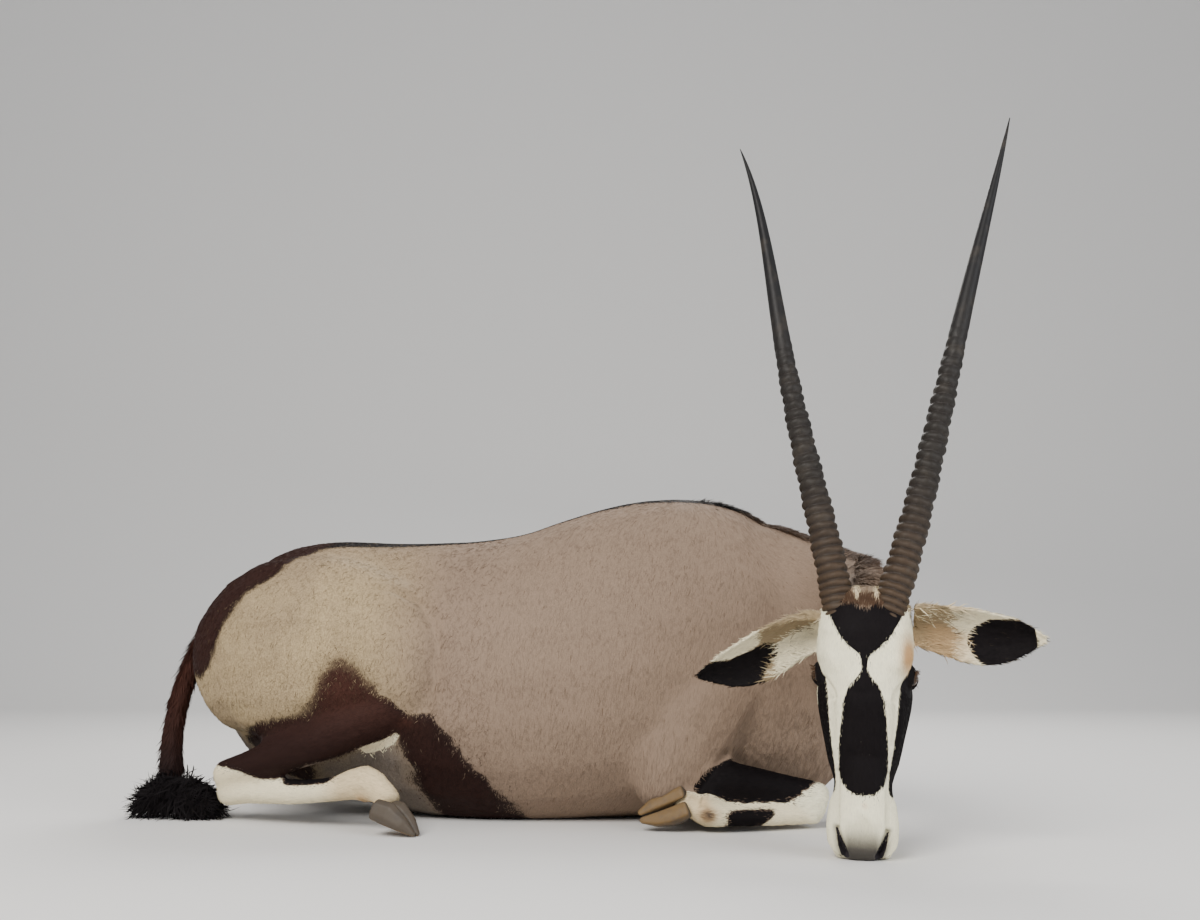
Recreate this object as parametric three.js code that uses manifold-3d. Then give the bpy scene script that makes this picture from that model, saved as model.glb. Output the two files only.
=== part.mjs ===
// Gemsbok (Oryx gazella) lying on its chest with all four legs folded and its head turned to its
// right, the muzzle on the ground. Millimetres, +Z up. Each named part of the body is one closed
// solid, and neighbours meet face to face with a thin gap.
//
// Two frames are used. The body frame has its origin on the ground under the withers, X to the
// chest, Y to the animal's left and Z up. The head frame has its origin under the muzzle, X to the
// animal's left, Y out of the face and Z from the muzzle up to the poll.
import * as THREE from 'three';
import Module from 'manifold-3d';

const wasm = await Module();
wasm.setup();

// Driving dimensions
const WITHERS = 602; // ground to the withers
const CROUP = 521; // ground to the croup
const CHEST_WIDTH = 486; // across the barrel at its widest
const BODY_TURN = -5; // degrees, the trunk against the long side of the whole
const HEAD_YAW = -97; // degrees, the face against the trunk
const HEAD_ROLL = 2.5; // degrees, the poll to the animal's left
const MUZZLE = [251, -514, 0]; // under the muzzle, in the body frame
const EYE_RADIUS = 19.5;
const LID_THICKNESS = 2.8;
const HORN_BASE_RADIUS = 25;
const HORN_TIP = { right: 1192, left: 1230 }; // above the muzzle, in the head frame
const HORN_RINGS = 17;
const RING_HEIGHT = 1.6;
const RINGED = { from: 0.03, to: 0.44 }; // shares of the horn's length
const EAR_WIDTH = 84;
const MANE_LOCKS = 13;
const MANE_SPAN = [0.24, 0.84]; // shares of the neck's length, from the withers to the poll
const MANE_LENGTH = 50;
const MANE_RISE = 7;
const MANE_LOCK = { wide: 11, thick: 3.2 };
const MANE_SEED = 11;
const TUFT_LOCKS = 22;
const TUFT_MIDDLE = [-950, -118]; // body frame, on the ground under the tail's end
const TUFT_REACH = [66, 48]; // along and across the body
const TUFT_SPREAD = 22; // how far the locks' roots lie to either side of the middle
const TUFT_LAYERS = [
  { length: 1, root: 26, tip: 7 },
  { length: 0.86, root: 40, tip: 16 },
  { length: 0.7, root: 54, tip: 30 },
];
const TUFT_CURL = 22;
const TUFT_LOCK = { wide: 12, thick: 4 };
const TUFT_SEED = 8;
const GAP = 0.3; // kept between neighbours
const WELD_REACH = 0.12; // corners closer than this become one
const GROUND_SIZE = [3000, 3000, 400];

const DEGREE = Math.PI / 180;
const RIGHT = -1;
const LEFT = 1;

// Colours of the coat and horn
const COAT = { fawn: 0x9d8a7e, dark: 0x241b18, white: 0xe6dfd2 };
const HORN = 0x3b3531;
const HOOF = 0x5c5648;
const EYE = 0x140d0a;

// One section of a limb or trunk: its middle, half width, reach up and down, and how square it is
const section = (x, y, z, wide, up, down, top = 2, low = top) => ({
  middle: new THREE.Vector3(x, y, z),
  reach: new THREE.Vector3(wide, up, down),
  form: new THREE.Vector3(top, low, 0),
});

// A section of the trunk from its top and bottom heights
const trunkSection = (x, topHeight, bottomHeight, middleHeight, half, top, low) =>
  section(x, 0, middleHeight, half, topHeight - middleHeight, middleHeight - bottomHeight, top, low);

// Smooth curve through the same property of all sections
const through = (sections, key) =>
  new THREE.CatmullRomCurve3(sections.map((one) => one[key]), false, 'catmullrom', 0.5);

// A point of a rounded section: angle 0 is the side, a quarter turn is the top
function roundedPoint(angle, reach, form) {
  const across = Math.cos(angle);
  const along = Math.sin(angle);
  const power = 2 / (along >= 0 ? form.x : form.y);
  return [
    Math.sign(across) * Math.abs(across) ** power * reach.x,
    Math.sign(along) * Math.abs(along) ** power * (along >= 0 ? reach.y : reach.z),
  ];
}

// Closed body through a row of sections, with rounded ends and soft swellings or hollows
function loft(body, grow = 0) {
  const { sections, sides = 16, steps = 3, up = [0, 0, 1], caps = [20, 20] } = body;
  const { swellings = [], slices = [90, 45] } = body;
  const middles = through(sections, 'middle');
  const reaches = through(sections, 'reach');
  const forms = through(sections, 'form');
  const upward = new THREE.Vector3(...up);
  const rings = [];
  const addRing = (t, shrink, push) => {
    const middle = middles.getPoint(t);
    const tangent = middles.getTangent(t);
    const side = new THREE.Vector3().crossVectors(tangent, upward).normalize();
    const top = new THREE.Vector3().crossVectors(side, tangent).normalize();
    const reach = reaches.getPoint(t).addScalar(grow);
    const form = forms.getPoint(t);
    const centre = middle.clone().addScaledVector(tangent, push);
    const ring = [];
    for (let k = 0; k < (shrink > 0 ? sides : 1); k += 1) {
      const [across, along] = roundedPoint((k / sides) * 2 * Math.PI, reach, form);
      const point = centre.clone();
      point.addScaledVector(side, across * shrink).addScaledVector(top, along * shrink);
      ring.push(swell(point, centre, tangent, swellings));
    }
    rings.push(ring);
  };
  for (const slice of slices) {
    const angle = slice * DEGREE;
    addRing(0, slice === 90 ? 0 : Math.cos(angle), -Math.sin(angle) * (caps[0] + grow));
  }
  const last = (sections.length - 1) * steps;
  for (let i = 0; i <= last; i += 1) addRing(i / last, 1, 0);
  for (const slice of [...slices].reverse()) {
    const angle = slice * DEGREE;
    addRing(1, slice === 90 ? 0 : Math.cos(angle), Math.sin(angle) * (caps[1] + grow));
  }
  return stitch(rings, sides);
}

// Pushes a surface point out or in by the soft swellings near it
function swell(point, centre, tangent, swellings) {
  const outward = point.clone().sub(centre);
  if (outward.lengthSq() < 1) outward.copy(tangent);
  outward.normalize();
  const pushed = point.clone();
  for (const { at, radius, height } of swellings) {
    const distance = point.distanceTo(new THREE.Vector3(...at)) / radius;
    pushed.addScaledVector(outward, height * Math.exp(-distance * distance));
  }
  return pushed;
}

// Joins rings of points, the first and last being single points, into one closed mesh
function stitch(rings, sides) {
  const points = rings.flat();
  const faces = [];
  let start = 0;
  for (let r = 0; r + 1 < rings.length; r += 1) {
    const next = start + rings[r].length;
    for (let k = 0; k < sides; k += 1) {
      const other = (k + 1) % sides;
      if (rings[r].length === 1) faces.push([start, next + other, next + k]);
      else if (rings[r + 1].length === 1) faces.push([start + k, start + other, next]);
      else {
        faces.push([start + k, start + other, next + other]);
        faces.push([start + k, next + other, next + k]);
      }
    }
    start = next;
  }
  return { points, faces };
}

// Mesh data as a solid, turned right side out
function solid({ points, faces }) {
  let volume = 0;
  for (const [a, b, c] of faces) {
    volume += points[a].dot(new THREE.Vector3().crossVectors(points[b], points[c]));
  }
  const outward = volume > 0 ? faces : faces.map(([a, b, c]) => [a, c, b]);
  return new wasm.Manifold(new wasm.Mesh({
    numProp: 3,
    vertProperties: new Float32Array(points.flatMap((point) => point.toArray())),
    triVerts: new Uint32Array(outward.flat()),
  }));
}

// Moves mesh data with a matrix, into a new mesh
const moved = ({ points, faces }, matrix) => ({
  points: points.map((point) => point.clone().applyMatrix4(matrix)),
  faces,
});

// The same limb on the animal's left or right; limbs are written for the right side
const onSide = (side) => new THREE.Matrix4().makeScale(1, side === RIGHT ? 1 : -1, 1);
const lofted = (body, grow = 0, matrix = new THREE.Matrix4()) => solid(moved(loft(body, grow), matrix));

// Head frame to body frame
const headFrame = new THREE.Matrix4().makeTranslation(...MUZZLE)
  .multiply(new THREE.Matrix4().makeRotationZ((HEAD_YAW + 90) * DEGREE))
  .multiply(new THREE.Matrix4().makeScale(1, -1, 1))
  .multiply(new THREE.Matrix4().makeRotationY(HEAD_ROLL * DEGREE));
const mirrorX = (side) => new THREE.Matrix4().makeScale(side, 1, 1);
const inHead = (side = LEFT) => headFrame.clone().multiply(mirrorX(side));

// Where the trunk, neck and legs are parted: straight prisms across the body whose outline
// follows the hip and the shoulder, and a slanted block in front of the withers for the neck
const PARTING_END = -420; // well outside the body
const hipParting = (grow) => ({
  sides: 16,
  steps: 1,
  caps: [0.5, 0.5],
  sections: [-76 + grow, PARTING_END]
    .map((y) => section(-690, y, 262, 268 + grow, 232 + grow, 300)),
});
const shoulderParting = (grow) => ({
  sides: 14,
  steps: 1,
  up: [0.41, 0, 0.91],
  caps: [0.5, 0.5],
  sections: [-112 + grow, PARTING_END]
    .map((y) => section(16, y, 186, 126 + grow, 190 + grow, 200 + grow)),
});
const neckParting = { foot: [118, 0, 590], slant: 22 * DEGREE, turn: -20 * DEGREE, size: 900 };
const neckBlock = (grow) => {
  const { foot, slant, turn, size } = neckParting;
  return solid(moved(boxMesh(size, 3 * size, 2 * size), new THREE.Matrix4()
    .makeTranslation(...foot)
    .multiply(new THREE.Matrix4().makeRotationZ(turn))
    .multiply(new THREE.Matrix4().makeRotationY(-slant))
    .multiply(new THREE.Matrix4().makeTranslation(size / 2 - grow, 0, 0))));
};

// The ground: a deep slab whose top is the resting level
const ground = solid(moved(boxMesh(...GROUND_SIZE),
  new THREE.Matrix4().makeTranslation(0, 0, -GROUND_SIZE[2] / 2)));

function boxMesh(length, width, height) {
  const box = new THREE.BoxGeometry(length, width, height);
  const corner = box.getAttribute('position');
  const points = [];
  const merged = [];
  for (let i = 0; i < corner.count; i += 1) {
    const point = new THREE.Vector3().fromBufferAttribute(corner, i);
    const known = points.findIndex((other) => other.distanceTo(point) < 1e-6);
    merged.push(known < 0 ? points.push(point) - 1 : known);
  }
  const faces = [];
  for (let i = 0; i < box.index.count; i += 3) {
    faces.push([0, 1, 2].map((step) => merged[box.index.getX(i + step)]));
  }
  return { points, faces };
}

// Trunk
const half = CHEST_WIDTH / 2;
const trunk = {
  sides: 22,
  steps: 2,
  caps: [30, 40],
  sections: [
    trunkSection(-890, 426, 175, 302, 92, 2.1, 2),
    trunkSection(-845, 468, 105, 300, 138, 2.2, 2),
    trunkSection(-780, CROUP - 12, 62, 299, 174, 2.25, 2),
    trunkSection(-700, CROUP, 40, 292, half - 50, 2.25, 2.1),
    trunkSection(-600, CROUP - 4, 18, 280, half - 26, 2.1, 2.2),
    trunkSection(-500, CROUP - 3, -4, 268, half - 10, 2, 2.2),
    trunkSection(-400, CROUP + 1, -20, 258, half, 2, 2.2),
    trunkSection(-300, CROUP + 15, -22, 256, half, 1.95, 2.2),
    trunkSection(-200, WITHERS - 35, -14, 262, half - 4, 1.85, 2.2),
    trunkSection(-100, WITHERS - 9, -6, 270, half - 16, 1.72, 2.2),
    trunkSection(0, WITHERS, -2, 280, half - 36, 1.68, 2.1),
    trunkSection(85, WITHERS - 20, 2, 282, half - 54, 1.75, 2.1),
    trunkSection(165, WITHERS - 66, 14, 282, half - 78, 1.9, 2.2),
    trunkSection(230, WITHERS - 124, 36, 280, half - 104, 2, 2.3),
    trunkSection(276, WITHERS - 200, 78, 279, half - 142, 2, 2.2),
  ],
  swellings: [RIGHT, LEFT].flatMap((side) => [
    { at: [-700, side * 150, 470], radius: 60, height: 10 },
    { at: [-560, side * 200, 420], radius: 75, height: -16 },
    { at: [-40, side * 170, 430], radius: 110, height: 12 },
    { at: [150, side * 150, 270], radius: 70, height: 12 },
  ]),
};

const neck = {
  sides: 20,
  steps: 2,
  caps: [20, 18],
  sections: [
    section(40, 0, 385, 124, 175, 230, 1.8, 2),
    section(150, -12, 365, 122, 178, 225, 1.8, 2),
    section(236, -62, 356, 110, 152, 190, 1.8, 2),
    section(286, -142, 350, 92, 130, 150, 1.8, 2),
    section(300, -226, 345, 76, 121, 124, 1.8, 2),
    section(292, -300, 333, 68, 115, 112, 1.85, 2),
    section(283, -374, 322, 58, 92, 96, 2, 2),
  ],
};

// Hind leg, right side
const thigh = {
  sides: 16,
  steps: 2,
  caps: [30, 58],
  slices: [90, 60, 30],
  sections: [
    section(-878, -94, 240, 74, 112, 100, 2.1),
    section(-836, -108, 264, 96, 156, 134, 2.05),
    section(-770, -126, 285, 116, 190, 175),
    section(-690, -141, 290, 123, 195, 185),
    section(-610, -155, 288, 115, 180, 165),
    section(-545, -168, 284, 102, 154, 142),
    section(-488, -182, 272, 78, 112, 108),
  ],
};
const shank = {
  sides: 12,
  steps: 2,
  caps: [30, 22],
  sections: [
    section(-525, -196, 214, 48, 46, 52),
    section(-580, -212, 183, 49, 46, 50),
    section(-650, -218, 150, 43, 42, 44),
    section(-730, -205, 122, 34, 34, 36),
    section(-800, -180, 98, 27, 29, 30),
    section(-850, -155, 80, 25, 30, 30),
  ],
};
const hindCannon = {
  sides: 8,
  steps: 2,
  caps: [18, 8],
  sections: [
    section(-846, -150, 50, 25, 27, 30),
    section(-790, -176, 54, 23, 27, 26),
    section(-700, -208, 57, 22, 26, 26),
    section(-620, -230, 66, 22, 26, 26),
    section(-562, -247, 80, 28, 34, 35),
    section(-530, -263, 67, 24, 27, 27),
    section(-508, -280, 50, 26, 25, 25),
  ],
};

// Foreleg, right side
const upperArm = {
  sides: 14,
  steps: 2,
  up: [1, 0, 0],
  caps: [40, 22],
  sections: [
    section(78, -112, 340, 56, 88, 104),
    section(52, -136, 262, 66, 98, 118),
    section(12, -156, 186, 68, 90, 104),
    section(-22, -171, 124, 60, 82, 88),
    section(-42, -175, 80, 52, 76, 68),
    section(-48, -175, 46, 42, 66, 54),
  ],
};
const forearm = {
  sides: 10,
  steps: 2,
  caps: [16, 16],
  sections: [
    section(12, -184, 82, 36, 38, 42),
    section(42, -190, 82, 38, 40, 42),
    section(80, -190, 78, 36, 38, 38),
    section(150, -172, 67, 29, 31, 31),
    section(190, -160, 54, 33, 34, 40, 2.2),
    section(222, -153, 44, 32, 36, 46, 2.3),
  ],
};
const foreCannon = {
  sides: 8,
  steps: 2,
  caps: [8, 8],
  sections: [
    section(205, -166, 27, 20, 22, 24),
    section(130, -205, 25, 18, 20, 21),
    section(70, -228, 27, 18, 20, 22),
    section(28, -234, 35, 23, 29, 31),
    section(2, -224, 42, 20, 23, 24),
    section(-14, -210, 44, 24, 23, 23),
  ],
};

// Two pointed claws of one foot: the sole is flat, the wall leans back to the coronet
function clawBody(foot, inner) {
  const toe = new THREE.Vector3(...foot.toe);
  const along = new THREE.Vector3(...foot.heel).sub(toe);
  const length = along.length();
  along.normalize();
  const away = new THREE.Vector3(...foot.away);
  away.addScaledVector(along, -away.dot(along)).normalize();
  const across = new THREE.Vector3().crossVectors(along, away);
  const sideways = inner ? -1 : 1;
  const place = (share, height, offset) => toe.clone()
    .addScaledVector(along, length * share)
    .addScaledVector(away, height)
    .addScaledVector(across, sideways * offset);
  const claw = (share, height, wide) => {
    const middle = place(share, height * 0.35, foot.spread * (0.55 + 0.45 * share) + wide);
    return section(...middle.toArray(), wide, height * 0.65, height * 0.35, 2, 4);
  };
  return {
    sides: 8,
    steps: 1,
    caps: [5, 5],
    up: away.toArray(),
    sections: [claw(0.05, 9, 6), claw(0.3, 26, 12), claw(0.6, 40, 15), claw(0.92, 36, 14.5)],
  };
}
const foreFoot = { toe: [-91, -224, 24], heel: [-6, -242, 60], away: [0.1, 0.85, -0.5], spread: 1.5 };
const hindFoot = { toe: [-453, -320, 0], heel: [-532, -292, 27], away: [0.35, -0.05, 0.93], spread: 1.5 };

// A small horny point behind the fetlock
const dewclaw = (x, y, z, lean) => ({
  sides: 5,
  steps: 1,
  caps: [4, 6],
  sections: [section(x, y, z, 8, 8, 8), section(x + lean[0], y + lean[1], z + lean[2], 7, 7, 7)],
});
const foreDewclaws = [dewclaw(24, -250, 58, [-6, -12, 4]), dewclaw(36, -250, 32, [-6, -12, -2])];
const hindDewclaws = [dewclaw(-560, -262, 50, [-8, -8, -8]), dewclaw(-556, -236, 50, [-8, 0, -10])];

// Tail and its tuft
const tail = {
  sides: 8,
  steps: 2,
  up: [-1, 0, 0],
  caps: [8, 8],
  sections: [
    section(-882, 0, 400, 25, 22, 24),
    section(-912, 0, 384, 23, 23, 24),
    section(-943, -2, 346, 21, 22, 22),
    section(-964, -7, 310, 20, 22, 21),
    section(-979, -15, 272, 19, 21, 20),
    section(-988, -30, 228, 18, 21, 20),
    section(-990, -50, 175, 18, 21, 20),
    section(-985, -70, 126, 18, 22, 21),
    section(-974, -92, 86, 20, 24, 22),
  ],
};
const tuftCore = {
  sides: 8,
  steps: 2,
  caps: [30, 30],
  sections: [
    section(-990, -118, 28, 26, 24, 30),
    section(-962, -112, 42, 32, 38, 46),
    section(-925, -120, 34, 34, 30, 38),
    section(-900, -128, 26, 26, 20, 28),
  ],
};

// A repeatable source of numbers from 0 to 1, so that the hair is the same at each build
function chance(seed) {
  let state = seed;
  return () => {
    state = (state * 1664525 + 1013904223) % 4294967296;
    return state / 4294967296;
  };
}

// A lock of hair: a flat blade of four sides, bent along its points and tapered to its tip
function lock(points, { wide, thick }, flatTo) {
  const line = new THREE.CatmullRomCurve3(points, false, 'catmullrom', 0.5);
  const rings = [[points[0].clone()]];
  const rows = 3;
  for (let i = 0; i < rows; i += 1) {
    const share = (i + 0.3) / rows;
    const middle = line.getPoint(share);
    const across = new THREE.Vector3().crossVectors(line.getTangent(share), flatTo).normalize();
    const over = new THREE.Vector3().crossVectors(across, line.getTangent(share)).normalize();
    const fullness = 1 - 0.75 * Math.max(0, share - 0.35) ** 1.4;
    rings.push([[wide, 0], [0, thick], [-wide, 0], [0, -thick]].map(([sideways, outward]) => middle
      .clone()
      .addScaledVector(across, sideways * fullness)
      .addScaledVector(over, outward * fullness)));
  }
  rings.push([points[points.length - 1].clone()]);
  return solid(stitch(rings, 4));
}

// Mane: short locks along the crest of the neck, lying towards the head
function maneLocks() {
  const random = chance(MANE_SEED);
  const middles = through(neck.sections, 'middle');
  const reaches = through(neck.sections, 'reach');
  const upward = new THREE.Vector3(0, 0, 1);
  const locks = [];
  for (let k = 0; k < MANE_LOCKS; k += 1) {
    const share = MANE_SPAN[0] + ((MANE_SPAN[1] - MANE_SPAN[0]) * (k + 0.4 * random())) / MANE_LOCKS;
    const along = middles.getTangent(share);
    const side = new THREE.Vector3().crossVectors(along, upward).normalize();
    const out = new THREE.Vector3().crossVectors(side, along).normalize();
    const lean = (random() - 0.5) * 12;
    const crest = middles.getPoint(share).addScaledVector(out, reaches.getPoint(share).y);
    const at = (forward, rise, sideways) => crest.clone()
      .addScaledVector(along, forward * MANE_LENGTH)
      .addScaledVector(out, rise * MANE_RISE)
      .addScaledVector(side, sideways);
    const points = [at(-0.1, -0.9, 0), at(0.2, 0.4, lean * 0.2), at(0.6, 0.85, lean * 0.6),
      at(1, 0.9 + 0.2 * random(), lean)];
    locks.push(lock(points, MANE_LOCK, out));
  }
  return locks;
}

// Tuft: locks that leave the tail's end and curl over the ground to all sides
function tuftLocks() {
  const random = chance(TUFT_SEED);
  const upward = new THREE.Vector3(0, 0, 1);
  const locks = [];
  for (let k = 0; k < TUFT_LOCKS; k += 1) {
    const angle = ((k + 0.5 * random()) / TUFT_LOCKS) * 2 * Math.PI;
    const layer = TUFT_LAYERS[k % TUFT_LAYERS.length];
    const long = layer.length * (0.92 + 0.16 * random());
    const rootPlace = TUFT_MIDDLE[0] + TUFT_SPREAD * Math.cos(angle);
    const start = new THREE.Vector3(rootPlace, TUFT_MIDDLE[1], layer.root);
    const tipHeight = layer.tip + 8 * random();
    const curl = (random() - 0.5) * TUFT_CURL;
    const away = new THREE.Vector3(Math.cos(angle) * TUFT_REACH[0], Math.sin(angle) * TUFT_REACH[1], 0);
    const sideways = new THREE.Vector3(-away.y, away.x, 0).normalize();
    const at = (share, height, bend) => start.clone()
      .addScaledVector(away, share * long)
      .addScaledVector(sideways, bend * curl)
      .setZ(height);
    const points = [at(0.1, start.z, 0), at(0.45, start.z + 8, 0.4), at(0.75, (start.z + tipHeight) / 2, 1),
      at(1, tipHeight, 0.3)];
    locks.push(lock(points, TUFT_LOCK, upward));
  }
  return locks;
}

// Head, from the muzzle up to the poll: heights with the front and back of the section
const faceSection = (height, front, back, middle, halfWidth, top, low) =>
  section(0, middle, height, halfWidth, front - middle, middle - back, top, low);
const headBody = {
  sides: 24,
  steps: 2,
  up: [0, 1, 0],
  caps: [6, 14],
  sections: [
    faceSection(-4, -30, -80, -54, 36, 2.2, 2),
    faceSection(10, -12, -92, -54, 45, 2.3, 2),
    faceSection(30, -3, -100, -54, 50, 2.3, 2),
    faceSection(52, 0, -104, -55, 51.5, 2.3, 2),
    faceSection(80, 1, -107, -58, 47, 2.4, 2),
    faceSection(108, 2, -113, -64, 43.5, 2.5, 1.9),
    faceSection(137, 3, -125, -76, 54, 2.35, 1.8),
    faceSection(173, 4, -146, -86, 61, 2.35, 1.8),
    faceSection(207, 4, -166, -92, 66, 2.4, 1.85),
    faceSection(240, 3, -180, -93, 69.5, 2.45, 1.9),
    faceSection(272, 1, -184, -89, 69, 2.5, 2),
    faceSection(305, -3, -176, -84, 72, 2.6, 2),
    faceSection(340, -9, -162, -80, 72, 2.5, 2),
    faceSection(368, -25, -148, -80, 66, 2.4, 2),
    faceSection(392, -44, -134, -84, 54, 2.2, 2),
  ],
  swellings: [RIGHT, LEFT].flatMap((side) => [
    { at: [side * 68, -36, 302], radius: 26, height: 6 },
    { at: [side * 58, -22, 243], radius: 20, height: -4 },
    { at: [side * 55, -60, 205], radius: 30, height: 3 },
    { at: [side * 60, -110, 235], radius: 42, height: 5 },
    { at: [side * 36, -12, 34], radius: 15, height: 4 },
    { at: [side * 44, -62, 24], radius: 18, height: 2 },
  ]),
};

// Eyes, lids and openings, left side of the head frame
const eyeCentre = [59, -65, 268];
const eyeOut = new THREE.Vector3(0.94, 0.34, 0).normalize();
const eyeSlit = new THREE.Vector3(0.1, -0.45, 0.88).normalize();

function ballMesh(radius, centre, around, rows) {
  const poles = [[new THREE.Vector3(0, 0, radius)]];
  for (let r = 1; r < rows; r += 1) {
    const tilt = (r / rows) * Math.PI;
    const ring = [];
    for (let k = 0; k < around; k += 1) {
      const turn = (k / around) * 2 * Math.PI;
      ring.push(new THREE.Vector3().setFromSphericalCoords(radius, tilt, turn));
    }
    poles.push(ring.map((point) => new THREE.Vector3(point.x, point.z, point.y)));
  }
  poles.push([new THREE.Vector3(0, 0, -radius)]);
  const ball = stitch(poles, around);
  return moved(ball, new THREE.Matrix4().makeTranslation(...centre));
}

// The almond opening between the lids, as a short prism out of the eye
function lidOpening() {
  const centre = new THREE.Vector3(...eyeCentre);
  const far = centre.clone().addScaledVector(eyeOut, 45);
  const lift = new THREE.Vector3().crossVectors(eyeOut, eyeSlit).normalize();
  return {
    sides: 12,
    steps: 1,
    up: lift.toArray(),
    caps: [1, 1],
    sections: [
      section(...centre.toArray(), 16.5, 8.5, 8.5, 1.5),
      section(...far.toArray(), 20, 11, 11, 1.5),
    ],
  };
}

// Nostril slit and the groove of the mouth, left side of the head frame
const nostril = {
  sides: 7,
  steps: 1,
  up: [0, 1, 0],
  caps: [3, 4],
  sections: [
    section(22, -18, 10, 3, 8, 9),
    section(28, -9, 22, 4, 8, 9),
    section(34, -8, 34, 4, 7, 9),
    section(40, -14, 44, 3, 6, 7),
  ],
};
const mouthLine = {
  sides: 5,
  steps: 1,
  up: [0, 0, 1],
  caps: [3, 2],
  sections: [
    section(-2, -32, 0, 2.5, 2.5, 2.5),
    section(28, -38, 5, 4, 3, 3),
    section(47, -58, 16, 5, 3, 3),
    section(51, -70, 45, 4, 3, 3),
    section(47, -76, 78, 3, 2.5, 2.5),
  ],
};

// Horn: a long slender cone with rings to almost half its length
function hornBody(tipHeight) {
  const path = new THREE.CatmullRomCurve3([
    new THREE.Vector3(37, -53, 366),
    new THREE.Vector3(62, -78, 470),
    new THREE.Vector3(84, -93, 545),
    new THREE.Vector3(113, -122, 677),
    new THREE.Vector3(158, -165, 885),
    new THREE.Vector3(192, -200, 1060),
    new THREE.Vector3(233, -230, tipHeight),
  ]);
  const thickness = [[0, 1.07], [0.06, 1.02], [0.12, 0.96], [0.2, 0.86], [0.35, 0.67], [0.5, 0.55],
    [0.65, 0.47], [0.8, 0.36], [0.9, 0.24], [1, 0.05]];
  const radiusAt = (share) => {
    const next = Math.max(1, thickness.findIndex(([place]) => place >= share));
    const [from, wide] = thickness[next - 1];
    const [to, narrow] = thickness[next];
    return HORN_BASE_RADIUS * (wide + ((narrow - wide) * (share - from)) / (to - from));
  };
  const ringStart = (r) => RINGED.from + (RINGED.to - RINGED.from) * (r / HORN_RINGS) ** 0.95;
  const shares = [];
  for (let r = 0; r < HORN_RINGS; r += 1) {
    const start = ringStart(r);
    shares.push([start, -0.6], [start + (ringStart(r + 1) - start) * 0.55, 1]);
  }
  const plainRows = 6;
  for (let s = 1; s <= plainRows; s += 1) shares.push([RINGED.to + ((0.985 - RINGED.to) * s) / plainRows, 0]);
  const sections = [[0, 0], ...shares].map(([share, ridge]) => {
    const fade = Math.max(0, 1 - (share / RINGED.to) ** 3);
    const radius = radiusAt(share) + ridge * RING_HEIGHT * fade;
    const middle = path.getPointAt(share);
    return section(...middle.toArray(), radius, radius, radius);
  });
  return { sides: 8, steps: 1, up: [0, 1, 0], caps: [2, 8], sections };
}

// Ear: a leaf bent into a cup along a bent line, from a near tube at the root to a flat tip. Each
// row of the leaf holds its width as a share, how far it curls either way in degrees, and its
// thickness
function earMesh(ear) {
  const line = new THREE.CatmullRomCurve3(
    ear.line.map((point) => new THREE.Vector3(...point)), false, 'catmullrom', 0.5);
  const leaf = new THREE.CatmullRomCurve3([
    new THREE.Vector3(0.72, 142, 6), new THREE.Vector3(0.72, 118, 5.5),
    new THREE.Vector3(0.84, 88, 5), new THREE.Vector3(0.99, 66, 4.4),
    new THREE.Vector3(0.96, 54, 3.8), new THREE.Vector3(0.7, 46, 3.2), new THREE.Vector3(0.1, 30, 2.4),
  ], false, 'catmullrom', 0.5);
  const rows = 10;
  const columns = 6;
  const sheets = [[], []];
  for (let i = 0; i <= rows; i += 1) {
    const share = i / rows;
    const shape = leaf.getPoint(share);
    const bend = shape.y * DEGREE;
    const wide = (shape.x * EAR_WIDTH) / 2;
    const radius = wide / Math.sin(Math.min(bend, Math.PI / 2));
    const along = line.getTangent(share);
    const open = new THREE.Vector3(...ear.open);
    open.addScaledVector(along, -open.dot(along)).normalize();
    const across = new THREE.Vector3().crossVectors(along, open);
    const axis = line.getPoint(share).addScaledVector(open, radius * 0.5);
    for (let j = 0; j <= columns; j += 1) {
      const turn = (j / columns) * 2 * bend - bend;
      sheets.forEach((sheet, inner) => {
        const reach = radius + (inner ? -shape.z / 2 : shape.z / 2);
        sheet.push(axis.clone()
          .addScaledVector(across, reach * Math.sin(turn))
          .addScaledVector(open, -reach * Math.cos(turn)));
      });
    }
  }
  const outerCount = sheets[0].length;
  const index = (inner, i, j) => inner * outerCount + i * (columns + 1) + j;
  const faces = [];
  const quad = (a, b, c, d) => faces.push([a, b, c], [a, c, d]);
  for (let i = 0; i < rows; i += 1) {
    for (let j = 0; j < columns; j += 1) {
      quad(index(0, i, j), index(0, i + 1, j), index(0, i + 1, j + 1), index(0, i, j + 1));
      faces.push([index(1, i, j), index(1, i + 1, j + 1), index(1, i + 1, j)]);
      faces.push([index(1, i, j), index(1, i, j + 1), index(1, i + 1, j + 1)]);
    }
    quad(index(0, i, 0), index(1, i, 0), index(1, i + 1, 0), index(0, i + 1, 0));
    quad(index(0, i, columns), index(0, i + 1, columns), index(1, i + 1, columns), index(1, i, columns));
  }
  for (let j = 0; j < columns; j += 1) {
    quad(index(0, 0, j), index(0, 0, j + 1), index(1, 0, j + 1), index(1, 0, j));
    quad(index(0, rows, j), index(1, rows, j), index(1, rows, j + 1), index(0, rows, j + 1));
  }
  return { points: [...sheets[0], ...sheets[1]], faces };
}
const ears = {
  right: {
    line: [[-52, -92, 346], [-80, -92, 342], [-124, -92, 317], [-170, -92, 281], [-214, -92, 260],
      [-261, -92, 251]],
    open: [-0.1, 0.8, -0.6],
  },
  left: {
    line: [[52, -92, 352], [80, -92, 352], [128, -92, 343], [179, -92, 331], [224, -92, 331],
      [270, -92, 334]],
    open: [0.05, 0.97, -0.25],
  },
};

// Building the nodes: each takes its own solids, cut clear of its neighbours and the ground
const animal = new THREE.Group();
animal.rotation.z = BODY_TURN * DEGREE;

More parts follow.
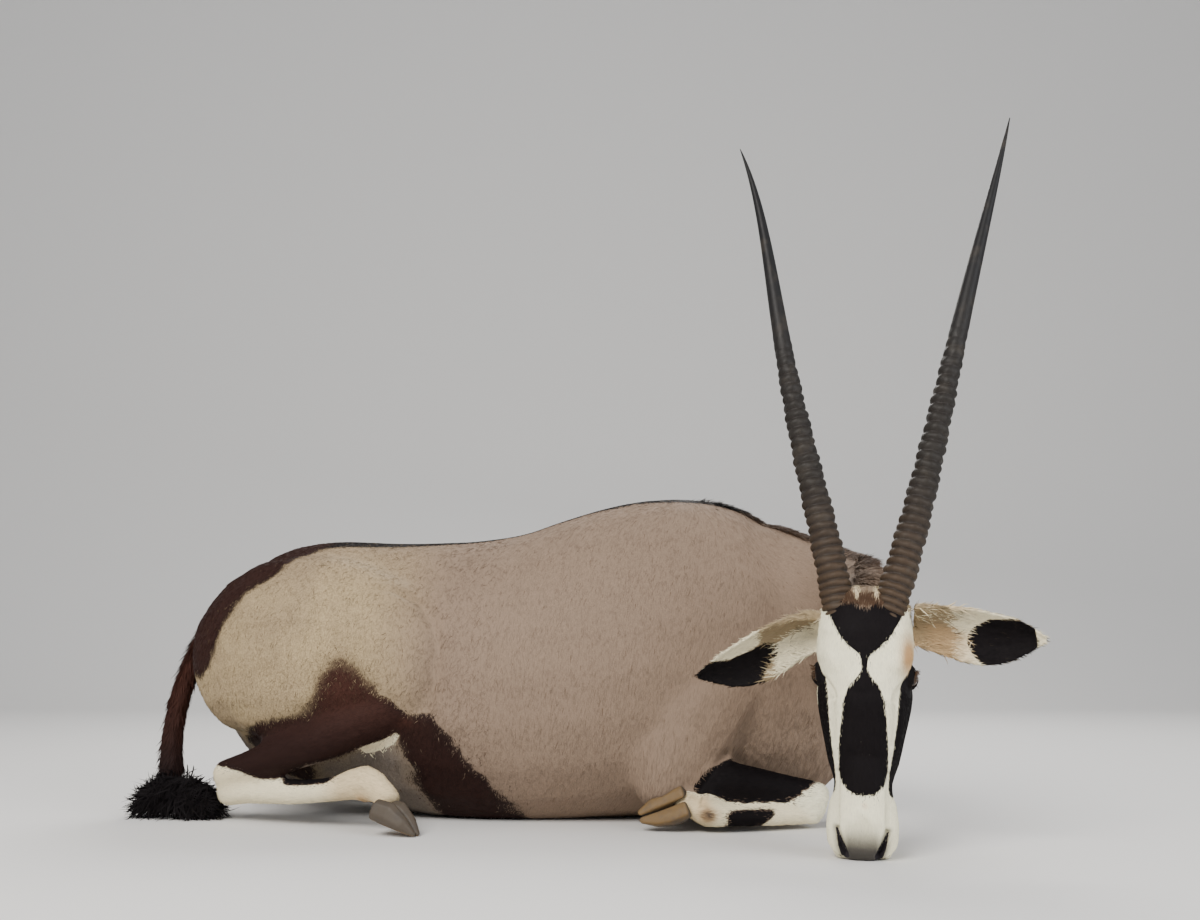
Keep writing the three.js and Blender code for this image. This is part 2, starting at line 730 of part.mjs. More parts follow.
// Joins solids into one
const join = (solids) => solids.reduce((all, one) => all.add(one));

// Cuts neighbours away and keeps the largest closed piece
function cut(whole, neighbours) {
  const rest = neighbours.reduce((kept, other) => kept.subtract(other), whole).subtract(ground);
  const pieces = rest.decompose();
  return pieces.reduce((best, piece) => (piece.volume() > best.volume() ? piece : best));
}

// True where each edge of the faces is shared by just two that run it opposite ways
function isClosed(faces) {
  const edges = new Set();
  for (const face of faces) {
    for (let k = 0; k < 3; k += 1) {
      const edge = `${face[k]} ${face[(k + 1) % 3]}`;
      if (edges.has(edge)) return false;
      edges.add(edge);
    }
  }
  return faces.every((face) => face.every((corner, k) => edges.has(`${face[(k + 1) % 3]} ${corner}`)));
}

// Merges corners closer than the reach, which cuts leave as slivers, if the body stays closed
function withoutSlivers(points, faces, reach) {
  const kept = points.map((point, i) => {
    const known = points.findIndex((other) => other.distanceToSquared(point) < reach * reach);
    return Math.min(known, i);
  });
  const merged = faces.map((face) => face.map((corner) => kept[corner]))
    .filter(([a, b, c]) => a !== b && b !== c && c !== a);
  return isClosed(merged) ? merged : faces;
}

function addNode(name, shape, color, roughness = 0.85) {
  const { vertProperties, triVerts, numProp } = shape.getMesh();
  const points = [];
  for (let i = 0; i < vertProperties.length; i += numProp) {
    points.push(new THREE.Vector3().fromArray(vertProperties, i));
  }
  const triangles = [];
  for (let i = 0; i < triVerts.length; i += 3) triangles.push([...triVerts.subarray(i, i + 3)]);
  const faces = withoutSlivers(points, triangles, WELD_REACH);
  const used = [...new Set(faces.flat())];
  const place = new Map(used.map((corner, i) => [corner, i]));
  const positions = used.flatMap((corner) => points[corner].toArray());
  const geometry = new THREE.BufferGeometry();
  geometry.setAttribute('position', new THREE.Float32BufferAttribute(positions, 3));
  geometry.setIndex(faces.flat().map((corner) => place.get(corner)));
  geometry.computeVertexNormals();
  const mesh = new THREE.Mesh(geometry, new THREE.MeshStandardMaterial({ color, roughness, metalness: 0 }));
  mesh.name = name;
  animal.add(mesh);
}

const sideName = (side) => (side === RIGHT ? 'right' : 'left');

// Head with lids, eye sockets, nostrils and mouth
function buildHead() {
  const shapes = { head: lofted(headBody, 0, headFrame) };
  const grown = lofted(headBody, GAP, headFrame);
  for (const side of [RIGHT, LEFT]) {
    const matrix = inHead(side);
    const lidBall = solid(moved(ballMesh(EYE_RADIUS + LID_THICKNESS, eyeCentre, 12, 8), matrix));
    const socket = solid(moved(ballMesh(EYE_RADIUS + GAP, eyeCentre, 12, 8), matrix));
    shapes.head = shapes.head.add(lidBall)
      .subtract(lofted(lidOpening(), 0, matrix))
      .subtract(socket)
      .subtract(lofted(nostril, 0, matrix))
      .subtract(lofted(mouthLine, 0, matrix));
    const eye = solid(moved(ballMesh(EYE_RADIUS, eyeCentre, 12, 8), matrix));
    addNode(`eye_${sideName(side)}`, eye, EYE, 0.1);
  }
  return { head: cut(shapes.head, []), grown };
}

const trunkGrown = lofted(trunk, GAP);
const neckGrown = lofted(neck, GAP);
const sides = [RIGHT, LEFT].map((side) => ({ name: sideName(side), matrix: onSide(side) }));
const flesh = join([lofted(trunk), lofted(neck),
  ...sides.flatMap(({ matrix }) => [lofted(thigh, 0, matrix), lofted(upperArm, 0, matrix)])]);
const partings = sides.flatMap(({ matrix }) => [hipParting, shoulderParting]
  .map((parting) => lofted(parting(GAP), 0, matrix)));

const { head, grown: headGrown } = buildHead();
addNode('head', head, COAT.white);
addNode('torso', cut(flesh, [...partings, neckBlock(GAP)]), COAT.fawn);
const maned = join([flesh, ...maneLocks()]).intersect(neckBlock(0));
addNode('neck', cut(maned, [...partings, headGrown]), COAT.fawn);

for (const side of [RIGHT, LEFT]) {
  const horn = (grow) => lofted(hornBody(HORN_TIP[sideName(side)]), grow, inHead(side));
  addNode(`horn_${sideName(side)}`, cut(horn(0), [headGrown, neckGrown]), HORN, 0.6);
  const ear = solid(moved(earMesh(ears[sideName(side)]), headFrame));
  addNode(`ear_${sideName(side)}`, cut(ear, [headGrown, neckGrown, horn(GAP)]), COAT.fawn);
}

for (const { name: suffix, matrix } of sides) {
  const limb = (body, grow = 0) => lofted(body, grow, matrix);

  addNode(`thigh_${suffix}`, cut(flesh.intersect(limb(hipParting(0))), []), COAT.fawn);
  const thighGrown = limb(thigh, GAP);
  addNode(`shank_${suffix}`, cut(limb(shank), [trunkGrown, thighGrown]), COAT.dark);
  const shankGrown = limb(shank, GAP);
  const hindFootSolids = [limb(hindCannon), ...hindDewclaws.map((one) => limb(one))];
  addNode(`hind_cannon_${suffix}`,
    cut(join(hindFootSolids), [trunkGrown, thighGrown, shankGrown]), COAT.white);

  addNode(`upper_arm_${suffix}`, cut(flesh.intersect(limb(shoulderParting(0))), []), COAT.fawn);
  const upperArmGrown = limb(upperArm, GAP);
  addNode(`forearm_${suffix}`, cut(limb(forearm), [trunkGrown, upperArmGrown]), COAT.dark);
  const forearmGrown = limb(forearm, GAP);
  const foreFootSolids = [limb(foreCannon), ...foreDewclaws.map((one) => limb(one))];
  addNode(`fore_cannon_${suffix}`,
    cut(join(foreFootSolids), [trunkGrown, upperArmGrown, forearmGrown]), COAT.white);

  for (const inner of [false, true]) {
    const place = inner ? 'inner' : 'outer';
    const foreClaw = cut(limb(clawBody(foreFoot, inner)),
      [limb(foreCannon, GAP), upperArmGrown, forearmGrown, trunkGrown]);
    const hindClaw = cut(limb(clawBody(hindFoot, inner)), [limb(hindCannon, GAP), trunkGrown]);
    addNode(`fore_claw_${place}_${suffix}`, foreClaw, HOOF, 0.5);
    addNode(`hind_claw_${place}_${suffix}`, hindClaw, HOOF, 0.5);
  }
}

addNode('tail', cut(lofted(tail), [trunkGrown]), COAT.dark);
const tuft = join([lofted(tuftCore), ...tuftLocks()]);
addNode('tail_tuft', cut(tuft, [tail, hindCannon, shank].map((body) => lofted(body, GAP))), COAT.dark);

// The origin is on the ground at the middle of the outline
const gemsbok = new THREE.Group();
gemsbok.add(animal);
gemsbok.updateMatrixWorld(true);
const reach = new THREE.Box3().setFromObject(gemsbok, true);
gemsbok.position.set(-(reach.min.x + reach.max.x) / 2, -(reach.min.y + reach.max.y) / 2, -reach.min.z);

export default gemsbok;
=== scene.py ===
"""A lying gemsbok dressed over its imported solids: skin, coat, horns, eyes, claws and a plain studio.

Lengths are in metres. The animal's own axes are X along the trunk towards the chest, Y to its left and
Z up, with the origin on the floor under the withers. The head has axes of its own: X to the animal's
left, Y out of the face, Z up from the muzzle.
"""

import functools
import logging
import math
from dataclasses import dataclass, field
from enum import Enum

import bmesh
import bpy
import numpy as np
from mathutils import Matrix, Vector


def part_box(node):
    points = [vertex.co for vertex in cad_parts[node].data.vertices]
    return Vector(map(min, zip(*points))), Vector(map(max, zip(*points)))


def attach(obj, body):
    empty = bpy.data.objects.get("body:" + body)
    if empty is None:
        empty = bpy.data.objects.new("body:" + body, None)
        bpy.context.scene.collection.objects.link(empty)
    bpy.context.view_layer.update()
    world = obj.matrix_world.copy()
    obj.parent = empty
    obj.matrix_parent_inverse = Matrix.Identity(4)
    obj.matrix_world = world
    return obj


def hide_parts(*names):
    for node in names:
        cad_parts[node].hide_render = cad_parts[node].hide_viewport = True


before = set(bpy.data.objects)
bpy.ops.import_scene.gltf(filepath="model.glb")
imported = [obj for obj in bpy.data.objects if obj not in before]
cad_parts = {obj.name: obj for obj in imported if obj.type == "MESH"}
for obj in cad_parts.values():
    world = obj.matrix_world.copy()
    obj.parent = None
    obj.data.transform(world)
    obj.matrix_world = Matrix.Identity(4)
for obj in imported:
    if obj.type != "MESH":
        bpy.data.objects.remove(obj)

import openvdb as vdb
from mathutils import Vector
from mathutils.bvhtree import BVHTree

logging.basicConfig(level=logging.INFO, format="%(message)s")
log = logging.getLogger("gemsbok")

Array = np.ndarray
Thing = bpy.types.Object
Material = bpy.types.Material
Marks = dict[str, Array]
MM = 0.001
MARGIN = 30.0 * MM
SLIM_MARGIN = 12.0 * MM
OFF_FLOOR = 0.6 * MM
BODY = "root"


class Side(Enum):
    """The two sides of the animal, as the sign of its own Y axis."""

    LEFT = 1
    RIGHT = -1


class Region(Enum):
    """The parts of the body that a marking or the coat's length depends on."""

    TRUNK = 0
    NECK = 1
    HEAD = 2
    EAR = 3
    UPPER_ARM = 4
    FOREARM = 5
    FORE_CANNON = 6
    THIGH = 7
    SHANK = 8
    HIND_CANNON = 9
    TAIL = 10


REGION_OF_NODE = {
    "torso": Region.TRUNK,
    "neck": Region.NECK,
    "head": Region.HEAD,
    "tail": Region.TAIL,
    "ear_left": Region.EAR,
    "ear_right": Region.EAR,
}
for side_word in ("left", "right"):
    REGION_OF_NODE[f"upper_arm_{side_word}"] = Region.UPPER_ARM
    REGION_OF_NODE[f"forearm_{side_word}"] = Region.FOREARM
    REGION_OF_NODE[f"fore_cannon_{side_word}"] = Region.FORE_CANNON
    REGION_OF_NODE[f"thigh_{side_word}"] = Region.THIGH
    REGION_OF_NODE[f"shank_{side_word}"] = Region.SHANK
    REGION_OF_NODE[f"hind_cannon_{side_word}"] = Region.HIND_CANNON

HEAD_NODES = ("head", "ear_left", "ear_right")
BODY_NODES = tuple(name for name in REGION_OF_NODE if name not in HEAD_NODES)


# Numbers, frames and fields


def turn_z(angle: float) -> Array:
    """Returns the matrix that turns by angle radians about Z."""
    c, s = math.cos(angle), math.sin(angle)
    return np.array([[c, -s, 0.0], [s, c, 0.0], [0.0, 0.0, 1.0]])


def turn_y(angle: float) -> Array:
    """Returns the matrix that turns by angle radians about Y."""
    c, s = math.cos(angle), math.sin(angle)
    return np.array([[c, 0.0, s], [0.0, 1.0, 0.0], [-s, 0.0, c]])


def unit(vectors: Array) -> Array:
    """Returns the vectors, one to a row, at length one."""
    return vectors / np.maximum(np.linalg.norm(vectors, axis=-1, keepdims=True), 1e-9)


def ease(values: Array, low: float, high: float) -> Array:
    """Runs smoothly from 0 at low to 1 at high.

    Args:
        values: the numbers to map.
        low: where the result leaves 0.
        high: where the result reaches 1, below low for a falling run.

    Returns:
        The mapped numbers.
    """
    t = np.clip((values - low) / (high - low), 0.0, 1.0)
    return t * t * (3.0 - 2.0 * t)


def within(values: Array, half: Array, edge: float) -> Array:
    """Is 1 where values lie inside plus or minus half and falls to 0 over edge."""
    return np.clip((half - np.abs(values)) / edge + 0.5, 0.0, 1.0)


def profile(x: Array, *pairs: tuple) -> Array:
    """Reads a line given as (x, value) pairs at each x."""
    known = sorted(pairs)
    return np.interp(x, [p[0] for p in known], [p[1] for p in known])


def in_regions(numbers: Array, *regions: Region) -> Array:
    """Gives 1 for each number that stands for one of the regions, and 0 for the others."""
    return np.isin(numbers, [region.value for region in regions]).astype(float)


def distance_to_line(points: Array, line: tuple) -> Array:
    """Measures how far points lie from a line of straight runs.

    Args:
        points: the points, in two or three dimensions.
        line: the corners of the line.

    Returns:
        One distance for each point.
    """
    near = np.full(len(points), 1e9)
    for a, b in zip(line[:-1], line[1:]):
        start, run = np.array(a), np.array(b) - np.array(a)
        share = np.clip(((points - start) @ run) / (run @ run), 0, 1)
        near = np.minimum(near, np.linalg.norm(points - start - share[:, None] * run, axis=1))
    return near


def distance_to_places(points: Array, places: tuple) -> Array:
    """Measures how far points lie from the nearest of some places, on either side of the body."""
    here = points * [1, 0, 1] - np.abs(points) * [0, 1, 0]
    return np.min([np.linalg.norm(here - np.array(place), axis=1) for place in places], axis=0)


@dataclass(frozen=True)
class Axes:
    """Where the animal's own axes and its head's axes stand in the part's frame."""

    trunk_yaw: float = math.radians(-5)
    head_yaw: float = math.radians(-7)
    head_lean: float = math.radians(2.5)
    muzzle: tuple = (0.251, -0.514, 0.0)
    eye: tuple = (0.059, -0.065, 0.268)

    @property
    def head_turn(self) -> Array:
        """The matrix from the head's axes to the animal's."""
        return turn_z(self.head_yaw) @ np.diag([1.0, -1.0, 1.0]) @ turn_y(self.head_lean)

    @property
    def shift(self) -> Array:
        """How far the part's frame lies from the animal's origin, read from the left eye's place."""
        low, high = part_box("eye_left")
        eye = self.head_turn @ np.array(self.eye) + np.array(self.muzzle)
        moved = np.array((low + high) / 2) - turn_z(self.trunk_yaw) @ eye
        return np.array([moved[0], moved[1], 0.0])

    def to_body(self, points: Array) -> Array:
        """Turns points of the part's frame into the animal's own axes."""
        return (points - self.shift) @ turn_z(self.trunk_yaw)

    def from_body(self, points: Array) -> Array:
        """Turns points of the animal's own axes into the part's frame."""
        return np.asarray(points) @ turn_z(self.trunk_yaw).T + self.shift

    def to_head(self, points: Array) -> Array:
        """Turns points of the part's frame into the head's axes."""
        return (self.to_body(points) - np.array(self.muzzle)) @ np.linalg.inv(self.head_turn).T

    def from_head(self, points: Array) -> Array:
        """Turns points of the head's axes into the part's frame."""
        return self.from_body(np.asarray(points) @ self.head_turn.T + np.array(self.muzzle))

    def to_eyes(self, places: Array) -> Array:
        """Gives how far places in the head's axes are from the nearer eye."""
        away = [np.linalg.norm(places - np.array(self.eye) * [side.value, 1, 1], axis=-1) for side in Side]
        return np.minimum(*away)

    def eye_axes(self) -> tuple[Array, Array, Array]:
        """Out of the left eye, along its slit from the muzzle up, and across it, in the head's axes."""
        out, slit = unit(np.array([[0.94, 0.34, 0.0], [0.1, -0.45, 0.88]]))
        return out, slit, np.cross(out, slit)

    def directions(self, vectors: Array, head: bool = False) -> Array:
        """Turns directions of the animal's or the head's axes into the part's frame."""
        turned = np.asarray(vectors, float) @ self.head_turn.T if head else np.asarray(vectors, float)
        return turned @ turn_z(self.trunk_yaw).T


AXES = Axes()


def mesh_arrays(thing: Thing) -> tuple[Array, Array, Array]:
    """Reads a mesh object.

    Args:
        thing: the object.

    Returns:
        Its points, its triangles as rows of three point numbers, and its point normals.
    """
    mesh = thing.data
    mesh.calc_loop_triangles()
    points = np.empty(len(mesh.vertices) * 3, np.float32)
    mesh.vertices.foreach_get("co", points)
    normals = np.empty(len(mesh.vertices) * 3, np.float32)
    mesh.vertex_normals.foreach_get("vector", normals)
    faces = np.empty(len(mesh.loop_triangles) * 3, np.int32)
    mesh.loop_triangles.foreach_get("vertices", faces)
    return points.reshape(-1, 3), faces.reshape(-1, 3), normals.reshape(-1, 3)


def node_mesh(name: str) -> tuple[Array, Array]:
    """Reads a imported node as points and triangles."""
    points, faces, _ = mesh_arrays(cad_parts[name])
    return points, faces


def joined(meshes: list) -> tuple[Array, Array]:
    """Joins meshes into one.

    Args:
        meshes: pairs of points and faces.

    Returns:
        All the points and all the faces.
    """
    faces, count = [], 0
    for points, corners in meshes:
        faces.append(corners + count)
        count += len(points)
    return np.concatenate([points for points, _ in meshes]), np.concatenate(faces)


def scatter(points: Array, faces: Array, weight: Array, count: int,
            draw: np.random.Generator) -> tuple[Array, Array]:
    """Draws places on a mesh.

    Args:
        points: the mesh's points.
        faces: its triangles.
        weight: how thickly the places stand on each triangle.
        count: how many places there are.
        draw: the source of chance.

    Returns:
        The three point numbers around each place, and their shares in it.
    """
    a, b, c = (points[faces[:, k]] for k in range(3))
    line = np.cumsum(np.linalg.norm(np.cross(b - a, c - a), axis=1) * weight)
    pick = np.searchsorted(line, draw.uniform(0, line[-1], count))
    r, s = np.sqrt(draw.uniform(size=count)), draw.uniform(size=count)
    return faces[np.minimum(pick, len(faces) - 1)], np.stack([1 - r, r * (1 - s), r * s], 1)


def blend(values: Array, face: Array, shares: Array) -> Array:
    """Blends values of a mesh's points at scattered places."""
    picked = values[face]
    return (picked * shares.reshape(shares.shape + (1,) * (picked.ndim - 2))).sum(1)


@dataclass
class Field:
    """Distances to a surface on a regular grid: below 0 inside, above 0 outside."""

    low: Array
    step: float
    shape: tuple

    @classmethod
    def around(cls, low: tuple, high: tuple, step: float) -> "Field":
        """Makes a grid over a box.

        Args:
            low: the box's lowest corner.
            high: its highest corner.
            step: the distance from one grid point to the next.

        Returns:
            The grid.
        """
        low, high = np.array(low, float), np.array(high, float)
        shape = tuple(int(n) for n in np.ceil((high - low) / step) + 1)
        return cls(low, step, shape)

    def measure(self, points: Array, faces: Array, reach: float) -> Array:
        """Measures distances to a mesh, cut off at reach.

        Args:
            points: the mesh's points.
            faces: its triangles or quads.
            reach: the largest distance that is told apart.

        Returns:
            The distances on the grid.
        """
        kind = "triangles" if faces.shape[1] == 3 else "quads"
        grid = vdb.FloatGrid.createLevelSetFromPolygons(
            ((points - self.low) / self.step).astype(np.float32),
            transform=vdb.createLinearTransform(voxelSize=1.0),
            halfWidth=reach / self.step,
            **{kind: faces.astype(np.int32)},
        )
        values = np.zeros(self.shape, np.float32)
        grid.copyToArray(values, ijk=(0, 0, 0))
        return values * self.step

    def surface(self, values: Array, level: float = 0.0) -> tuple[Array, Array]:
        """Takes the surface where the values equal a level.

        Args:
            values: the distances on the grid.
            level: the distance at which the surface lies.

        Returns:
            Its points and quads, facing outwards.
        """
        grid = vdb.FloatGrid(background=float(values.max() / self.step))
        grid.copyFromArray((values / self.step).astype(np.float32))
        points, quads = grid.convertToQuads(isovalue=level / self.step)
        points = points * self.step + self.low
        a, b, c = points[quads[:, 0]], points[quads[:, 1]], points[quads[:, 2]]
        turned_in = np.einsum("ij,ij->i", a - points.mean(0), np.cross(b - a, c - a)).sum() < 0
        return points.astype(np.float32), (quads[:, ::-1] if turned_in else quads).astype(np.int32)

    def axes(self) -> list[Array]:
        """The grid's coordinates along X, Y and Z, shaped to spread over the grid."""
        lines = [self.low[k] + self.step * np.arange(self.shape[k]) for k in range(3)]
        return [lines[0][:, None, None], lines[1][None, :, None], lines[2][None, None, :]]

    def soften(self, values: Array, radius: float) -> Array:
        """Blurs the values, which rounds creases and facets.

        Args:
            values: the distances on the grid.
            radius: about how far the blur reaches.

        Returns:
            The blurred values.
        """
        cells = radius / self.step
        count = max(1, int(math.ceil(2.5 * cells)))
        weights = np.exp(-0.5 * (np.arange(-count, count + 1) / cells) ** 2)
        weights /= weights.sum()
        for axis in range(3):
            ends = [(count, count) if k == axis else (0, 0) for k in range(3)]
            padded = np.pad(values, ends, mode="edge")
            total = np.zeros_like(values)
            for k, weight in enumerate(weights):
                cut = [slice(None)] * 3
                cut[axis] = slice(k, k + values.shape[axis])
                total += np.float32(weight) * padded[tuple(cut)]
            values = total
        return values


def placed(name: str, data: bpy.types.ID) -> Thing:
    """Makes an object that shows the data, in the scene."""
    bpy.context.collection.objects.link(thing := bpy.data.objects.new(name, data))
    return thing


def build_object(name: str, points: Array, faces: Array) -> Thing:
    """Makes a smooth mesh object from arrays.

    Args:
        name: the object's name.
        points: its points.
        faces: its faces, all with the same number of corners.

    Returns:
        The object.
    """
    mesh = bpy.data.meshes.new(name)
    mesh.vertices.add(len(points))
    mesh.vertices.foreach_set("co", np.ascontiguousarray(points, np.float32).ravel())
    mesh.loops.add(faces.size)
    mesh.loops.foreach_set("vertex_index", np.ascontiguousarray(faces, np.int32).ravel())
    mesh.polygons.add(len(faces))
    mesh.polygons.foreach_set("loop_start", np.arange(0, faces.size, faces.shape[1], dtype=np.int32))
    mesh.polygons.foreach_set("use_smooth", np.full(len(faces), True))
    mesh.update(calc_edges=True)
    mesh.validate()
    return placed(name, mesh)


def made_plain(thing: Thing) -> Thing:
    """Gives an object the plain mesh that its modifiers make.

    Args:
        thing: the object.

    Returns:
        The same object, without modifiers.
    """
    mesh = bpy.data.meshes.new_from_object(thing.evaluated_get(bpy.context.evaluated_depsgraph_get()))
    mesh.name = thing.name
    thing.modifiers.clear()
    thing.data = mesh
    return thing


def fewer_faces(thing: Thing, triangles: int) -> Thing:
    """Thins an object's mesh and keeps its shape.

    Args:
        thing: the object.
        triangles: about how many triangles it keeps.

    Returns:
        The same object.
    """
    thing.data.calc_loop_triangles()
    have = len(thing.data.loop_triangles)
    if have <= triangles:
        return thing
    thinning = thing.modifiers.new("fewer faces", "DECIMATE")
    thinning.ratio = triangles / have
    return made_plain(thing)


def move_points(mesh: bpy.types.Mesh, points: Array) -> None:
    """Sets all the points of a mesh."""
    mesh.vertices.foreach_set("co", points.astype(np.float32).ravel())
    mesh.update()


def set_numbers(mesh: bpy.types.Mesh, name: str, values: Array) -> None:
    """Stores one number for each point of a mesh."""
    layer = mesh.attributes.new(name, "FLOAT", "POINT")
    layer.data.foreach_set("value", np.ascontiguousarray(values, np.float32).ravel())


# Shader building


class Shade:
    """A shader socket that takes part in Python sums."""

    def __init__(self, tree: "Finish", socket: bpy.types.NodeSocket) -> None:
        """Keeps the tree and the socket."""
        self.tree = tree
        self.socket = socket

    def _math(self, operation: str, *values: object) -> "Shade":
        """Adds a Math node."""
        return self.tree.node("ShaderNodeMath", {"operation": operation}, dict(enumerate(values)))

    def __add__(self, other: object) -> "Shade":
        """Sum."""
        return self._math("ADD", self, other)

    def __radd__(self, other: object) -> "Shade":
        """Sum with the number first."""
        return self._math("ADD", other, self)

    def __sub__(self, other: object) -> "Shade":
        """Difference."""
        return self._math("SUBTRACT", self, other)

    def __rsub__(self, other: object) -> "Shade":
        """Difference with the number first."""
        return self._math("SUBTRACT", other, self)

    def __mul__(self, other: object) -> "Shade":
        """Product."""
        return self._math("MULTIPLY", self, other)

    def __rmul__(self, other: object) -> "Shade":
        """Product with the number first."""
        return self._math("MULTIPLY", other, self)

    def between(self, low: float, high: float) -> "Shade":
        """Runs smoothly from 0 at low to 1 at high."""
        values = {"Value": self, "From Min": low, "From Max": high}
        return self.tree.node("ShaderNodeMapRange", {"interpolation_type": "SMOOTHSTEP"}, values)


def feed(tree: bpy.types.NodeTree, socket: bpy.types.NodeSocket, value: object) -> None:
    """Fills a socket.

    Args:
        tree: the tree that the socket is in.
        socket: the socket.
        value: a shade or another node's socket to link, or a constant.
    """
    source = value.socket if isinstance(value, Shade) else value
    if isinstance(source, bpy.types.NodeSocket):
        tree.links.new(source, socket)
    else:
        socket.default_value = source


def add_node(tree: bpy.types.NodeTree, kind: str, settings: dict, values: dict) -> bpy.types.Node:
    """Adds a node to a shader or geometry tree.

    Args:
        tree: the tree.
        kind: the node's type.
        settings: its properties, set before its sockets.
        values: what goes into its sockets, by name or number.

    Returns:
        The node.
    """
    made = tree.nodes.new(kind)
    for key, value in settings.items():
        setattr(made, key, value)
    for key, value in values.items():
        feed(tree, made.inputs[key], value)
    return made


class Finish:
    """A material under construction: one Principled shader and the nodes before it."""

    def __init__(self, name: str) -> None:
        """Makes the material with its Principled shader.

        Args:
            name: the material's name.
        """
        self.material = bpy.data.materials.new(name)
        self.material.use_nodes = True
        self.tree = self.material.node_tree
        self.shader = self.tree.nodes["Principled BSDF"]

    def node(self, kind: str, settings: dict, values: dict, output: object = 0) -> Shade:
        """Adds a node and gives the output of that name or number."""
        return Shade(self, add_node(self.tree, kind, settings, values).outputs[output])

    def number(self, name: str) -> Shade:
        """Reads a number stored on the mesh's points."""
        return self.node("ShaderNodeAttribute", {"attribute_name": name}, {}, "Fac")

    def place(self) -> Shade:
        """Reads the object's own coordinates."""
        return self.node("ShaderNodeTexCoord", {}, {}, "Object")

    def noise(self, scale: float, detail: float = 2.0, where: Shade = None, roughness: float = 0.5) -> Shade:
        """Adds a noise of scale bumps to the metre."""
        values = {"Vector": where or self.place(), "Scale": scale, "Detail": detail, "Roughness": roughness}
        return self.node("ShaderNodeTexNoise", {}, values)

    def mix(self, share: object, first: object, second: object, how: str = "MIX") -> Shade:
        """Mixes two colours."""
        settings = {"data_type": "RGBA", "blend_type": how}
        return self.node("ShaderNodeMix", settings, {0: share, 6: first, 7: second}, 2)

    def lit(self, shade: Shade, light: Shade) -> Shade:
        """Lightens or darkens a colour by a number."""
        grey = self.node("ShaderNodeCombineColor", {}, {0: light, 1: light, 2: light})
        return self.mix(1.0, shade, grey, "MULTIPLY")

    def stretched(self, scale: tuple) -> Shade:
        """Gives the place scaled along X, Y and Z, so that a noise on it turns into streaks."""
        return self.node("ShaderNodeMapping", {}, {"Vector": self.place(), "Scale": scale})

    def bump(self, height: Shade, strength: float, depth: float) -> None:
        """Feeds the shader's normal from a height."""
        values = {"Height": height, "Strength": strength, "Distance": depth}
        self.give("Normal", self.node("ShaderNodeBump", {}, values))

    def give(self, socket: str, value: object) -> None:
        """Fills one of the shader's own sockets."""
        feed(self.tree, self.shader.inputs[socket], value)


def colour(red: float, green: float, blue: float) -> tuple:
    """A colour with full cover."""
    return (red, green, blue, 1.0)


@dataclass(frozen=True)
class CoatColours:
    """The colours of the coat."""

    fawn: tuple = colour(0.242, 0.174, 0.126)
    fawn_shade: tuple = colour(0.165, 0.12, 0.088)
    pale: tuple = colour(0.385, 0.295, 0.165)
    # grey: the white belly hair with painted shade on it, low on the trunk and below the hind leg.
    grey: tuple = colour(0.17, 0.142, 0.118)
    white: tuple = colour(0.95, 0.9, 0.66)
    cream: tuple = colour(0.68, 0.54, 0.33)
    tan: tuple = colour(0.54, 0.32, 0.15)
    brown: tuple = colour(0.07, 0.04, 0.024)
    dark: tuple = colour(0.006, 0.0045, 0.005)
    russet: tuple = colour(0.052, 0.02, 0.014)
    # Near black: the dewclaws' own dark horn, and painted shade on the face's folds, nostrils and mouth.
    soot: tuple = colour(0.028, 0.024, 0.028)


